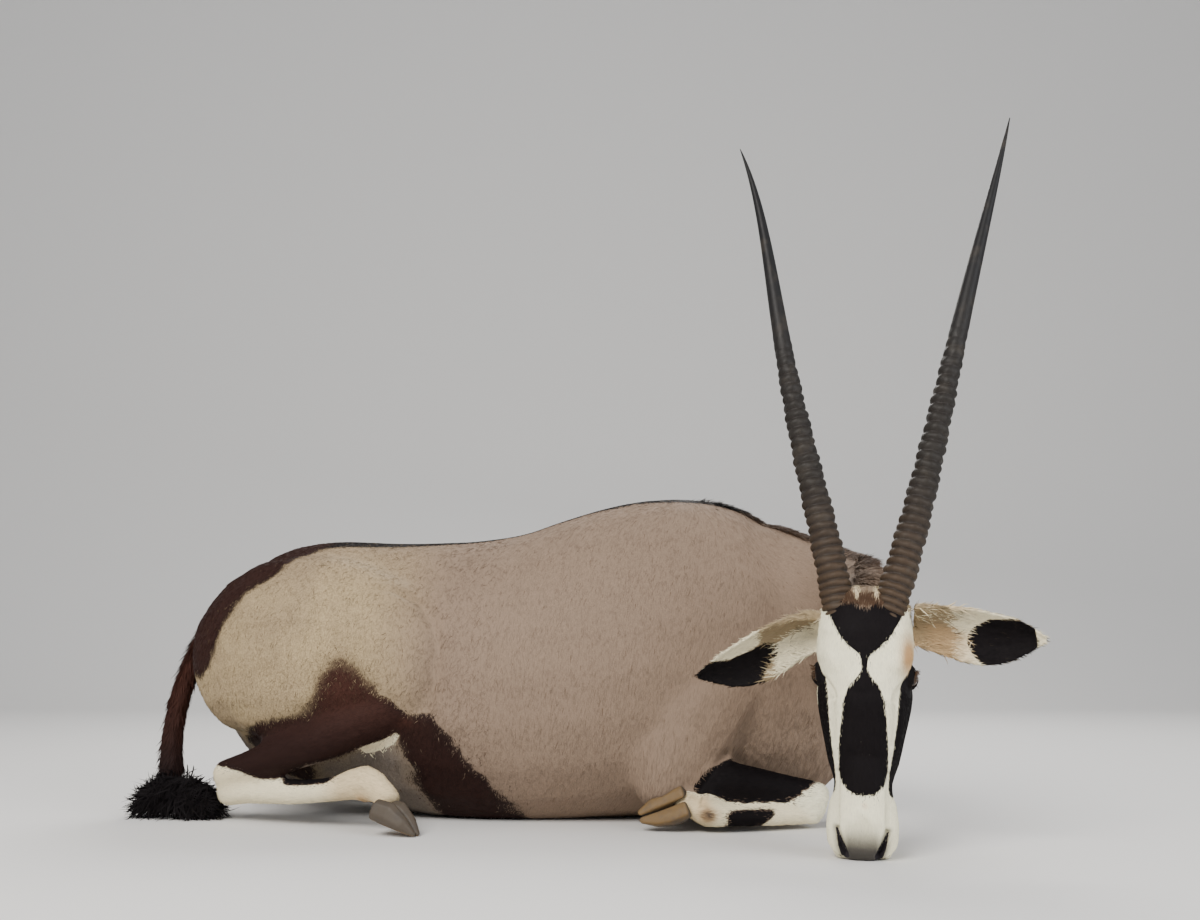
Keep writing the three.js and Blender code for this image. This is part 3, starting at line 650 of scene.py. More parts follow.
@dataclass(frozen=True)
class CoatFinish:
    """The material of skin and coat, which reads the markings and painted shade stored on their points."""

    name: str
    colours: CoatColours = CoatColours()
    strength: float = 0.4
    depth: float = 0.6 * MM
    streaks: float = 620.0
    ragged: float = 0.3
    tuft_edge: float = 1.9
    tuft_tone: float = 0.36
    contrast: float = 0.3
    grizzling: float = 0.9
    spread: float = 2.2
    crisp: tuple = (0.38, 0.62)
    faded: tuple = (0.2, 0.8)
    gloss: float = 0.09

    def streak(self, tree: Finish, scale: float, squeeze: float) -> Shade:
        """Makes a noise drawn out along the lie of the coat, downwards or level as "flow" says.

        Args:
            tree: the material under construction.
            scale: its bumps to the metre across the hair.
            squeeze: the share of them along the hair.

        Returns:
            The noise.
        """
        flow = tree.number("flow")
        down = tree.noise(scale, 3.0, tree.stretched((1.0, 1.0, squeeze)), 0.6)
        level = tree.noise(scale, 3.0, tree.stretched((squeeze, 1.0, 1.0)), 0.6)
        return down * flow + level * (1.0 - flow)

    def build(self) -> Material:
        """Builds the material.

        Returns:
            The material.
        """
        tree = Finish(self.name)
        colours = self.colours
        streak = self.streak(tree, self.streaks, 0.1)
        broad = tree.noise(9.0, 3.0)
        grizzle = tree.noise(340.0, 2.0)
        tone = tree.number("tone")
        mottle = tree.number("mottle")
        hairs = (self.streak(tree, 170.0, 0.22) - 0.5) * self.ragged
        hairs = hairs + (tree.noise(38.0, 2.0) - 0.5) * (self.ragged * 0.5) + (tone - 0.5) * self.tuft_edge

        def marked(name: str) -> Shade:
            """Reads a marking and gives it a hairy edge."""
            return (tree.number(name) * self.spread - (self.spread - 1.0) / 2 + hairs).between(*self.crisp)

        shade = tree.mix(tree.number("pale"), colours.fawn, colours.pale)
        shade = tree.mix((broad - 0.42) * 1.1 * mottle, shade, colours.fawn_shade)
        # Painted shade: grey over the underside, where the white belly hair lies in shade.
        shade = tree.mix(tree.number("grey"), shade, colours.grey)
        shade = tree.mix((tree.number("brown") * 1.8 - 0.4 + hairs).between(0.25, 0.75), shade, colours.brown)
        clean = tree.mix(tree.number("cream"), colours.white, colours.cream)
        shade = tree.mix(marked("white"), shade, clean)
        shade = tree.mix(tree.number("tan"), shade, colours.tan)
        dark = marked("dark")
        faded = (tree.number("dark") + hairs * 0.4).between(*self.faded)
        night = tree.mix(tree.number("russet"), colours.dark, colours.russet)
        shade = tree.mix(dark + (faded - dark) * mottle * 0.75, shade, night)
        # Darkens the dewclaws and paints shade on the face.
        shade = tree.mix(tree.number("soot"), shade, colours.soot)
        light = (streak - 0.5) * self.contrast + (tone - 0.5) * self.tuft_tone
        light = light + (grizzle - 0.5) * mottle * self.grizzling + 1.0

        tree.give("Base Color", tree.lit(shade, light))
        tree.give("Roughness", 0.66 + (streak - 0.5) * 0.3)
        tree.give("Specular IOR Level", self.gloss)
        tree.bump(streak, self.strength, self.depth)
        return tree.material


@dataclass(frozen=True)
class HornFinish:
    """The material of the horns: brownish and hairy at the base, dark grey above."""

    name: str = "horn_sheath"
    low: tuple = colour(0.058, 0.036, 0.02)
    middle: tuple = colour(0.019, 0.016, 0.013)
    high: tuple = colour(0.0075, 0.007, 0.0075)
    groove: tuple = colour(0.018, 0.014, 0.012)
    worn: tuple = colour(0.06, 0.048, 0.035)

    def build(self) -> Material:
        """Builds the material.

        Returns:
            The material.
        """
        tree = Finish(self.name)
        run = tree.number("run")
        ring = tree.number("ring")
        grain = tree.noise(420.0, 4.0, tree.stretched((1, 1, 0.09)))
        patch = tree.noise(26.0, 3.0)
        shade = tree.mix(run.between(0.02, 0.3), self.low, self.middle)
        shade = tree.mix(run.between(0.3, 0.75), shade, self.high)
        shade = tree.mix((1.0 - ring) * run.between(0.62, 0.4) * 0.75, shade, self.groove)
        shade = tree.mix(patch.between(0.52, 0.74) * 0.45, shade, self.worn)
        tree.give("Base Color", tree.lit(shade, 0.72 + grain * 0.56))
        tree.give("Roughness", 0.46 + grain * 0.25 - run * 0.12)
        tree.give("Specular IOR Level", 0.25)
        tree.bump(grain, 0.45, 0.7 * MM)
        return tree.material


@dataclass(frozen=True)
class ClawFinish:
    """The material of the claws: dull grey horn with growth lines and a khaki sole."""

    name: str = "claw_horn"
    wall: tuple = colour(0.064, 0.048, 0.032)
    sole: tuple = colour(0.165, 0.095, 0.028)
    lines: tuple = colour(0.045, 0.038, 0.034)

    def build(self) -> Material:
        """Builds the material.

        Returns:
            The material.
        """
        tree = Finish(self.name)
        grain = tree.noise(170.0, 4.0)
        lines = tree.noise(60.0, 3.0)
        shade = tree.mix(tree.number("sole") * (0.6 + lines * 0.6), self.wall, self.sole)
        shade = tree.mix(lines.between(0.45, 0.75) * 0.5, shade, self.lines)
        tree.give("Base Color", shade)
        tree.give("Roughness", 0.42 + grain * 0.35)
        tree.bump(grain, 0.5, 0.6 * MM)
        return tree.material


@dataclass(frozen=True)
class EyeFinish:
    """The material of the eyeballs: very dark brown, wet, with a level slot of a pupil."""

    name: str = "wet_eye"
    iris: tuple = colour(0.03, 0.014, 0.007)
    pupil: tuple = colour(0.003, 0.003, 0.004)
    fleck: tuple = colour(0.012, 0.006, 0.004)
    rim: tuple = colour(0.16, 0.11, 0.09)

    def build(self) -> Material:
        """Builds the material.

        Returns:
            The material.
        """
        tree = Finish(self.name)
        fleck = tree.noise(260.0, 3.0)
        shade = tree.mix(fleck * 0.7, self.iris, self.fleck)
        shade = tree.mix(tree.number("pupil").between(0.4, 0.6), shade, self.pupil)
        shade = tree.mix(tree.number("white_of_eye").between(0.4, 0.7), shade, self.rim)
        tree.give("Base Color", shade)
        tree.give("Roughness", 0.12 + fleck * 0.06)
        tree.give("Specular IOR Level", 0.2)
        tree.give("Coat Weight", 0.45)
        tree.give("Coat Roughness", 0.03)
        return tree.material


# Markings


EAR_ROOT, EAR_LENGTH = 0.071, 0.185


@dataclass(frozen=True)
class Markings:
    """The coat's pattern and some painted shade, as shares from 0 to 1 on points of the body, the same for
    skin and coat.

    Lines that a patch follows are given as (place, value) pairs in the animal's or the head's axes. In the
    methods, the two numbers of an ease() are the places where a marking begins and where it is full.
    """

    croup_line: tuple = (
        (-0.95, 0.2), (-0.895, 0.235), (-0.868, 0.285), (-0.848, 0.322), (-0.809, 0.37), (-0.771, 0.413),
        (-0.737, 0.457), (-0.721, 0.477), (-0.701, 0.495),
    )
    spine_half: tuple = (
        (-0.7, 0.1), (-0.656, 0.086), (-0.554, 0.066), (-0.45, 0.054), (-0.3, 0.044),
        (0.0, 0.036), (0.12, 0.026),
    )
    thigh_top: tuple = (
        (-0.88, 0.12), (-0.806, 0.162), (-0.768, 0.18), (-0.7, 0.193), (-0.662, 0.21),
        (-0.648, 0.245), (-0.633, 0.288), (-0.616, 0.303), (-0.567, 0.268), (-0.533, 0.228),
        (-0.505, 0.2), (-0.48, 0.175),
    )
    flank_top: tuple = (
        (-0.5, 0.19), (-0.453, 0.198), (-0.427, 0.162), (-0.402, 0.132), (-0.367, 0.088),
        (-0.33, 0.052), (-0.302, 0.01), (-0.1, -0.15),
    )
    flank_front: tuple = (
        (0.01, -0.458), (0.033, -0.471), (0.058, -0.483), (0.105, -0.495), (0.128, -0.508), (0.15, -0.52),
        (0.185, -0.52),
    )
    leg_line: tuple = (
        (-0.86, 0.08), (-0.757, 0.092), (-0.7, 0.1), (-0.634, 0.116), (-0.6, 0.127), (-0.571, 0.139),
        (-0.543, 0.147), (-0.525, 0.156), (-0.503, 0.176),
    )
    hock_top: tuple = ((-0.86, 0.1), (-0.8, 0.092), (-0.74, 0.07), (-0.7, 0.04))
    forehead_half: tuple = (
        (0.276, 0.0035), (0.286, 0.0035), (0.299, 0.006), (0.3085, 0.018), (0.321, 0.033), (0.342, 0.045),
        (0.365, 0.0575), (0.38, 0.063),
    )
    blaze_half: tuple = (
        (0.095, 0.0), (0.099, 0.013), (0.102, 0.021), (0.111, 0.0305), (0.128, 0.0355), (0.16, 0.036),
        (0.182, 0.035), (0.204, 0.0325), (0.235, 0.0295), (0.25, 0.024), (0.257, 0.02), (0.267, 0.011),
        (0.279, 0.0035),
    )
    cheek_edge: tuple = (
        (0.085, 0.06), (0.094, 0.041), (0.105, 0.038), (0.121, 0.039), (0.136, 0.041), (0.16, 0.0445),
        (0.185, 0.0475), (0.205, 0.05), (0.235, 0.0515), (0.256, 0.0545), (0.268, 0.06), (0.28, 0.0675),
        (0.292, 0.075),
    )
    nostril: tuple = ((0.0375, 0.046), (0.034, 0.037), (0.0295, 0.022), (0.024, 0.007))
    cheek_back: tuple = (
        (0.08, -0.06), (0.12, -0.078), (0.17, -0.094), (0.24, -0.108), (0.3, -0.104),
    )
    mouth_line: tuple = ((0.028, -0.034, 0.004), (0.047, -0.055, 0.014), (0.051, -0.07, 0.04),
                         (0.047, -0.076, 0.078))
    temple_stain: tuple = (0.064, 0.302)
    muzzle_stain: tuple = (0.003, 0.082)
    crest: tuple = (
        (-0.05, 0.0, 0.602), (0.04, 0.0, 0.594), (0.1, -0.004, 0.574), (0.15, -0.012, 0.545),
        (0.236, -0.062, 0.508), (0.286, -0.142, 0.48), (0.3, -0.226, 0.466), (0.292, -0.3, 0.448),
        (0.283, -0.374, 0.414),
    )
    fore_dewclaws: tuple = ((0.018, -0.262, 0.062), (0.03, -0.262, 0.03))
    hind_dewclaws: tuple = ((-0.568, -0.27, 0.042), (-0.564, -0.236, 0.04))
    knee_line: tuple = (0.163, 0.043, 1.42)
    nostril_half: tuple = ((0.006, 0.005), (0.02, 0.0042), (0.046, 0.0006))
    mouth_squeeze: tuple = (0.4, 1.0, 1.0)
    right_ear: tuple = ((0.073, 0.344), (0.124, 0.317), (0.17, 0.279), (0.209, 0.26), (0.26, 0.251))
    left_ear: tuple = ((0.071, 0.354), (0.128, 0.343), (0.179, 0.33), (0.223, 0.332), (0.269, 0.334))

    def trunk(self, p: Array, n: Array, region: Array) -> Marks:
        """Marks everything behind the head.

        Args:
            p: points in the animal's own axes.
            n: normals there.
            region: the region of each point, as its number.

        Returns:
            One array of shares for each mark.
        """
        x, y, z, up = p[:, 0], np.abs(p[:, 1]), p[:, 2], n[:, 2]
        on = functools.partial(in_regions, region)
        rump = on(Region.TRUNK, Region.THIGH)
        trunk, haunch, shank, tail = (on(r) for r in (Region.TRUNK, Region.THIGH, Region.SHANK, Region.TAIL))
        arm, cannon, hind = (on(r) for r in (Region.FOREARM, Region.FORE_CANNON, Region.HIND_CANNON))
        croup = rump * ease(z - profile(x, *self.croup_line), -0.012, 0.012) * ease(x, -0.68, -0.7)
        croup *= ease(y, 0.215, 0.195)
        croup *= 1.0 - ease(x, -0.8, -0.86) * ease(z, 0.27, 0.24) * ease(y, 0.05, 0.08)
        spine = rump * within(p[:, 1], profile(x, *self.spine_half), 0.02) * ease(up, 0.15, 0.4)
        spine *= ease(x, -0.72, -0.69) * ease(x, 0.16, 0.06)

        leg_line = profile(x, *self.leg_line) - z
        below_leg = ease(leg_line, -0.004, 0.006) * ease(x, -0.72, -0.66)
        hock = shank * ease(profile(x, *self.hock_top) - z, -0.006, 0.006)
        dark_shank = shank * (1.0 - below_leg) * (1.0 - hock)
        grizzled = 0.014 + 0.055 * ease(x, -0.72, -0.65) * ease(x, -0.5, -0.57)
        thigh = (haunch + dark_shank) * ease((profile(x, *self.thigh_top) - z) / grizzled, -1.0, 1.0)
        thigh *= ease(x, -0.465, -0.485) * ease(y, 0.06, 0.09) * (1.0 - below_leg)
        before_leg = ease(x - profile(z, *self.flank_front), -0.008, 0.008)
        flank = rump * ease(profile(x, *self.flank_top) - z, -0.012, 0.012)
        flank *= before_leg * ease(x, 0.1, -0.04)
        # Painted shade: the white underside low on the trunk and below the hind leg's line takes the grey of
        # white hair in shade.
        shaded_belly = (trunk * ease(z, 0.17, 0.15) + (haunch + shank) * below_leg) * (1.0 - before_leg)
        edge = (haunch + shank) * ease(x, -0.6, -0.57) * ease(x, -0.505, -0.52)
        edge *= within(0.007 - leg_line, 0.008, 0.006)

        knee_x, knee_z, slope = self.knee_line
        knee = (arm + cannon) * ease(x - (knee_x + slope * (z - knee_z)), -0.008, 0.008)
        patch = cannon * ease(x, 0.055, 0.068) * ease(x, 0.15, 0.138) * ease(z, 0.041, 0.034)
        # Darkens the top face of each hind cannon between hock and fetlock, under the shank.
        cannon_top = hind * ease(up, 0.45, 0.62) * ease(x, -0.79, -0.77) * ease(x, -0.6, -0.64)
        dark = np.maximum.reduce([
            croup, spine * 0.86, thigh, dark_shank, flank, tail, arm * (1 - knee), patch, cannon_top,
        ])
        white = np.maximum.reduce([edge, hock, knee, cannon * (1 - patch), hind * (1 - cannon_top)])
        fetlock = np.maximum(hind * ease(x, -0.66, -0.6), cannon * ease(x, 0.05, 0.02))
        mane = ease(distance_to_line(p, self.crest), 0.017, 0.006) * ease(x, -0.02, 0.06)
        horny = distance_to_places(p, self.fore_dewclaws + self.hind_dewclaws)
        horny += 1.0 - on(Region.FORE_CANNON, Region.HIND_CANNON)
        return {
            "dark": dark * (1.0 - np.maximum(edge, knee)),
            "white": white,
            "brown": mane * ease(p[:, 1], -0.34, -0.27),
            "grey": shaded_belly,
            "pale": ease(x, -0.42, -0.6) * (0.85 - 0.45 * ease(z, 0.38, 0.54)) * rump,
            "cream": np.clip(0.45 * (hind + cannon) + (edge + hock) * 0.6 + 0.5 * fetlock, 0, 1),
            "russet": np.clip(thigh * (0.35 + 0.65 * ease(z, 0.13, 0.27)) + tail * ease(z, 0.03, 0.3)
                              + 0.45 * croup + 0.4 * flank * (x < 0.0), 0, 1),
            "mottle": np.clip(rump * ease(x, -0.42, -0.62) + 0.3 * trunk + 0.35 * on(Region.NECK)
                              + 2.8 * flank * (1.0 - flank), 0, 1),
            "tan": 0.8 * ease(horny, 0.021, 0.017),
            "soot": 0.92 * ease(horny, 0.0165, 0.0125),
        }

    def head(self, p: Array, n: Array, ear: Array) -> Marks:
        """Marks head and ears.

        Args:
            p: points in the head's axes.
            n: normals there.
            ear: 1 on the points of the ears.

        Returns:
            One array of shares for each mark.
        """
        marks, ears = self.face(p), self.ears(p, n)
        for name in marks:
            if name in ("cream", "tan"):
                marks[name] = np.clip(marks[name] + ears[name] * ear, 0, 1)
            else:
                marks[name] = marks[name] * (1.0 - ear) + ears.get(name, 0.0) * ear
        return marks

    def face(self, p: Array) -> Marks:
        """Marks the face and the poll.

        Args:
            p: points in the head's axes.

        Returns:
            One array of shares for each mark.
        """
        u, v, w = p[:, 0], p[:, 1], p[:, 2]
        side = np.abs(u)
        folded = np.stack([side, v, w], 1)
        forehead = within(u, profile(w, *self.forehead_half), 0.005) * ease(w, 0.272, 0.278)
        hairline = 0.378 - 0.008 * within(side, 0.011, 0.006)
        forehead *= ease(w - hairline, 0.005, -0.002) * ease(v, -0.085, -0.075)
        blaze = within(u, profile(w, *self.blaze_half), 0.005) * ease(w, 0.284, 0.278)
        blaze *= ease(v, -0.07, -0.055)
        cheek = ease(side + 0.0015 * np.sign(u) - profile(w, *self.cheek_edge), -0.002, 0.002)
        cheek *= ease(w, 0.086, 0.096) * ease(w, 0.3, 0.288)
        cheek *= ease(v - profile(w, *self.cheek_back), -0.005, 0.005)
        glimpse = within(v + 0.083, 0.0045, 0.002) * (u < 0)
        glimpse = glimpse * ease(w, 0.216, 0.228) * ease(w, 0.266, 0.258)
        over_eye = ease(side, 0.06, 0.066) * ease(w, 0.284, 0.292) * ease(w, 0.345, 0.33)
        over_eye *= within(v + 0.082 + 0.25 * (w - 0.29), 0.016, 0.006)
        jaw = ease(side, 0.03, 0.04) * ease(v, -0.118, -0.122) * ease(v, -0.142, -0.136)
        jaw = jaw * ease(w, 0.13, 0.15) * ease(w, 0.3, 0.28)
        slit = distance_to_line(folded[:, [0, 2]], self.nostril)
        slit += 0.1 * ease(v, -0.028, -0.045) - profile(w, *self.nostril_half)
        lids = np.linalg.norm(folded - np.array(AXES.eye), axis=1)
        squeezed = [np.multiply(corner, self.mouth_squeeze) for corner in self.mouth_line]
        mouth = distance_to_line(folded * self.mouth_squeeze, squeezed)
        # Besides the black pattern, the dark mark paints shadow inside the nostrils and along the slit of the
        # mouth.
        dark = np.maximum.reduce([
            forehead, blaze, cheek * (1.0 - glimpse), over_eye, jaw * 0.8,
            ease(slit, 0.0022, -0.0004), ease(lids, 0.0275, 0.0245), ease(mouth, 0.0026, 0.0012) * 0.9,
        ])
        # Darker towards the bottom of the muzzle between the nostrils; painted shade along the bottom edge of
        # the lip and in a grey ring around each nostril.
        snout = ease(w, 0.068, 0.014) * within(u, 0.027, 0.014) * ease(v, -0.06, -0.045)
        lip = ease(w, 0.012, 0.002) * within(u, 0.036, 0.016)
        soot = np.maximum.reduce([snout * 0.95, lip * 0.6, ease(slit, 0.009, 0.0) * 0.65])
        # Painted shade in the deeper folds of the face.
        for crease in HEAD_CREASES:
            if crease.depth > 0.0013:
                worn = np.minimum(crease.press(p) / 0.003, 1.0) * ease(v, -0.1, -0.08)
                soot = np.maximum(soot, 0.2 * worn)

        poll = ease(w, 0.371, 0.378)
        wedge_half = 0.0055 * np.clip((w - 0.383) / 0.016, 0.0, 1.0)
        wedge = within(u - np.where(u < 0, -0.014, 0.017), wedge_half, 0.002)
        wedge *= ease(w, 0.384, 0.389) * ease(w, 0.412, 0.404) * ease(v, -0.105, -0.095)
        white = (1.0 - ease(v, -0.118, -0.132)) * (1.0 - poll)
        white *= 1.0 - ease(w, 0.364, 0.369) * within(side, 0.052, 0.004)
        temple = np.hypot((u - self.temple_stain[0]) / 0.012, (w - self.temple_stain[1]) / 0.031)
        spot = np.hypot(u - self.muzzle_stain[0], w - self.muzzle_stain[1])
        tan = 1.2 * np.exp(-(temple**2)) + 0.45 * np.exp(-((spot / 0.004) ** 2))
        none = np.zeros(len(p))
        return {
            "dark": dark,
            "white": np.maximum(white, 0.62 * wedge),
            "brown": np.clip(0.95 * poll * (1.0 - wedge) * ease(w, 0.404, 0.392), 0, 1),
            "grey": none,
            "pale": poll * 0.2,
            "cream": 0.04 + 0.8 * poll,
            "russet": none,
            "mottle": none,
            "tan": tan,
            "soot": np.clip(soot, 0, 1),
        }

    def ears(self, p: Array, n: Array) -> Marks:
        """Marks the ears, whose dark lenses and pale rims differ on the two sides.

        Args:
            p: points in the head's axes.
            n: normals there.

        Returns:
            One array of shares for each mark that the ears have.
        """
        side, w = np.abs(p[:, 0]), p[:, 2]
        right = p[:, 0] < 0
        run = (side - EAR_ROOT) / EAR_LENGTH
        middle = np.where(right, profile(side, *self.right_ear), profile(side, *self.left_ear))
        front = ease(n[:, 1], -0.15, 0.15)
        start, drop = np.where(right, 0.34, 0.45), np.where(right, 0.004, 0.007)
        open_part = np.clip(np.minimum((run - start) / 0.16, (1.0 - run) / 0.05), 0.0, 1.0)
        lens = within(w - middle + drop, np.where(right, 0.027, 0.038) * np.sqrt(open_part), 0.006)
        low_rim = right * ease(run, 0.4, 0.52) * ease(middle - w, 0.024, 0.03)
        low_rim = np.maximum(low_rim, right * ease(run, 0.95, 0.99))
        rim = front * ease(run, np.where(right, 0.4, 0.25), np.where(right, 0.6, 0.4)) * (1.0 - lens)
        rim = (rim + ease(run, 0.93, 1.0)) * (1.0 - low_rim)
        low_half = ease(middle + 0.004 - w, -0.006, 0.006)
        inner_white = front * ease(run, 0.42, 0.3) * np.where(right, 0.9 * low_half, 0.35 * (1.0 - low_half))
        tan = 0.42 * front * (1.0 - right) * low_half * ease(run, 0.55, 0.4) * ease(run, 0.02, 0.14)
        return {
            "dark": np.maximum(front * lens, low_rim),
            "white": np.clip(rim + inner_white + 0.4 * (1 - front), 0, 1),
            "pale": np.full(len(p), 0.8),
            "cream": np.full(len(p), 0.35),
            "mottle": np.full(len(p), 0.3),
            "tan": tan,
        }


MARKS = ("dark", "white", "brown", "grey", "pale", "cream", "russet", "mottle", "tan", "soot")
STORED = MARKS + ("flow",)


# Skin


@dataclass(frozen=True)
class Crease:
    """A fold pressed into the skin along a line, on one or both sides.

    Sizes below 0 for the depth raise a ridge instead. The squeeze says how much a distance along X, Y or
    Z counts, so that a crease of the face can be given by how it looks from the front.
    """

    line: tuple
    depth: float
    width: float
    both: bool = True
    squeeze: tuple = (1.0, 1.0, 1.0)

    def press(self, points: Array) -> Array:
        """Gives how far each point moves in along its normal."""
        here = points * [1, 0, 1] - np.abs(points) * [0, 1, 0] if self.both else points
        line = [np.array(corner) * self.squeeze for corner in self.line]
        near = distance_to_line(here * self.squeeze, line)
        return self.depth * np.exp(-((near / self.width) ** 2))


BODY_CREASES = (
    Crease(((-0.61, -0.237, 0.411), (-0.569, -0.224, 0.418), (-0.525, -0.214, 0.415),
            (-0.483, -0.198, 0.394)), 0.0035, 0.007),
    Crease(((-0.64, -0.225, 0.428), (-0.59, -0.215, 0.437), (-0.54, -0.2, 0.432)), 0.002, 0.006),
    Crease(((-0.518, -0.208, 0.415), (-0.483, -0.198, 0.394), (-0.456, -0.218, 0.358),
            (-0.441, -0.233, 0.305), (-0.444, -0.239, 0.254), (-0.462, -0.232, 0.202)), 0.0065, 0.013),
    Crease(((0.062, -0.199, 0.127), (0.041, -0.222, 0.103), (0.015, -0.222, 0.069), (0.008, -0.246, 0.05)),
           0.007, 0.008),
    Crease(((0.085, -0.184, 0.15), (0.108, -0.16, 0.133), (0.131, -0.146, 0.115)), 0.0022, 0.006),
    Crease(((0.088, -0.188, 0.162), (0.112, -0.165, 0.146), (0.135, -0.15, 0.13)), 0.0016, 0.005),
)
NECK_CREASES = (
    Crease(((0.091, -0.135, 0.467), (0.144, -0.14, 0.427), (0.196, -0.158, 0.401), (0.22, -0.192, 0.392)),
           0.0016, 0.005, both=False),
)


def on_cheeks(line: tuple, depth: float, width: float,
                   squeeze: tuple = (1.0, 0.3, 1.0)) -> tuple[Crease, Crease]:
    """A crease of the face, given in the head's axes, and its mirror image."""
    mirrored = tuple((-x, y, z) for x, y, z in line)
    return Crease(line, depth, width, False, squeeze), Crease(mirrored, depth, width, False, squeeze)


HEAD_CREASES = (
    *on_cheeks(((0.0385, -0.024, 0.126), (0.0375, -0.018, 0.095), (0.0365, -0.012, 0.062),
                     (0.0375, -0.009, 0.046)), 0.004, 0.0036),
    *on_cheeks(((0.0375, -0.009, 0.045), (0.034, -0.008, 0.036), (0.0295, -0.012, 0.022),
                     (0.024, -0.02, 0.007)), 0.009, 0.0042),
    *on_cheeks(((0.042, -0.026, 0.085), (0.0435, -0.022, 0.056), (0.042, -0.026, 0.02)), 0.001, 0.0028),
    *on_cheeks(((0.046, -0.04, 0.078), (0.0485, -0.036, 0.05), (0.046, -0.04, 0.024)), -0.003, 0.01),
    *on_cheeks(((0.0, 0.0, 0.07), (0.018, -0.002, 0.056), (0.022, -0.006, 0.04)), -0.002, 0.01),
    *on_cheeks(((0.061, -0.034, 0.263), (0.0545, -0.029, 0.255), (0.0475, -0.02, 0.2465),
                     (0.044, -0.015, 0.236)), 0.0042, 0.0038),
    *on_cheeks(((0.0455, -0.018, 0.232), (0.0445, -0.019, 0.2), (0.0425, -0.022, 0.17)), 0.002, 0.004),
    *on_cheeks(((0.054, -0.034, 0.226), (0.053, -0.034, 0.196), (0.048, -0.036, 0.156)), -0.0024, 0.007),
    *on_cheeks(((0.048, -0.014, 0.286), (0.056, -0.022, 0.302), (0.052, -0.024, 0.33)), -0.003, 0.012),
    *on_cheeks(((0.02, -0.004, 0.262), (0.022, -0.005, 0.21), (0.026, -0.01, 0.15)), -0.0012, 0.009),
    *on_cheeks(Markings.mouth_line, 0.0034, 0.0034, Markings.mouth_squeeze),
)


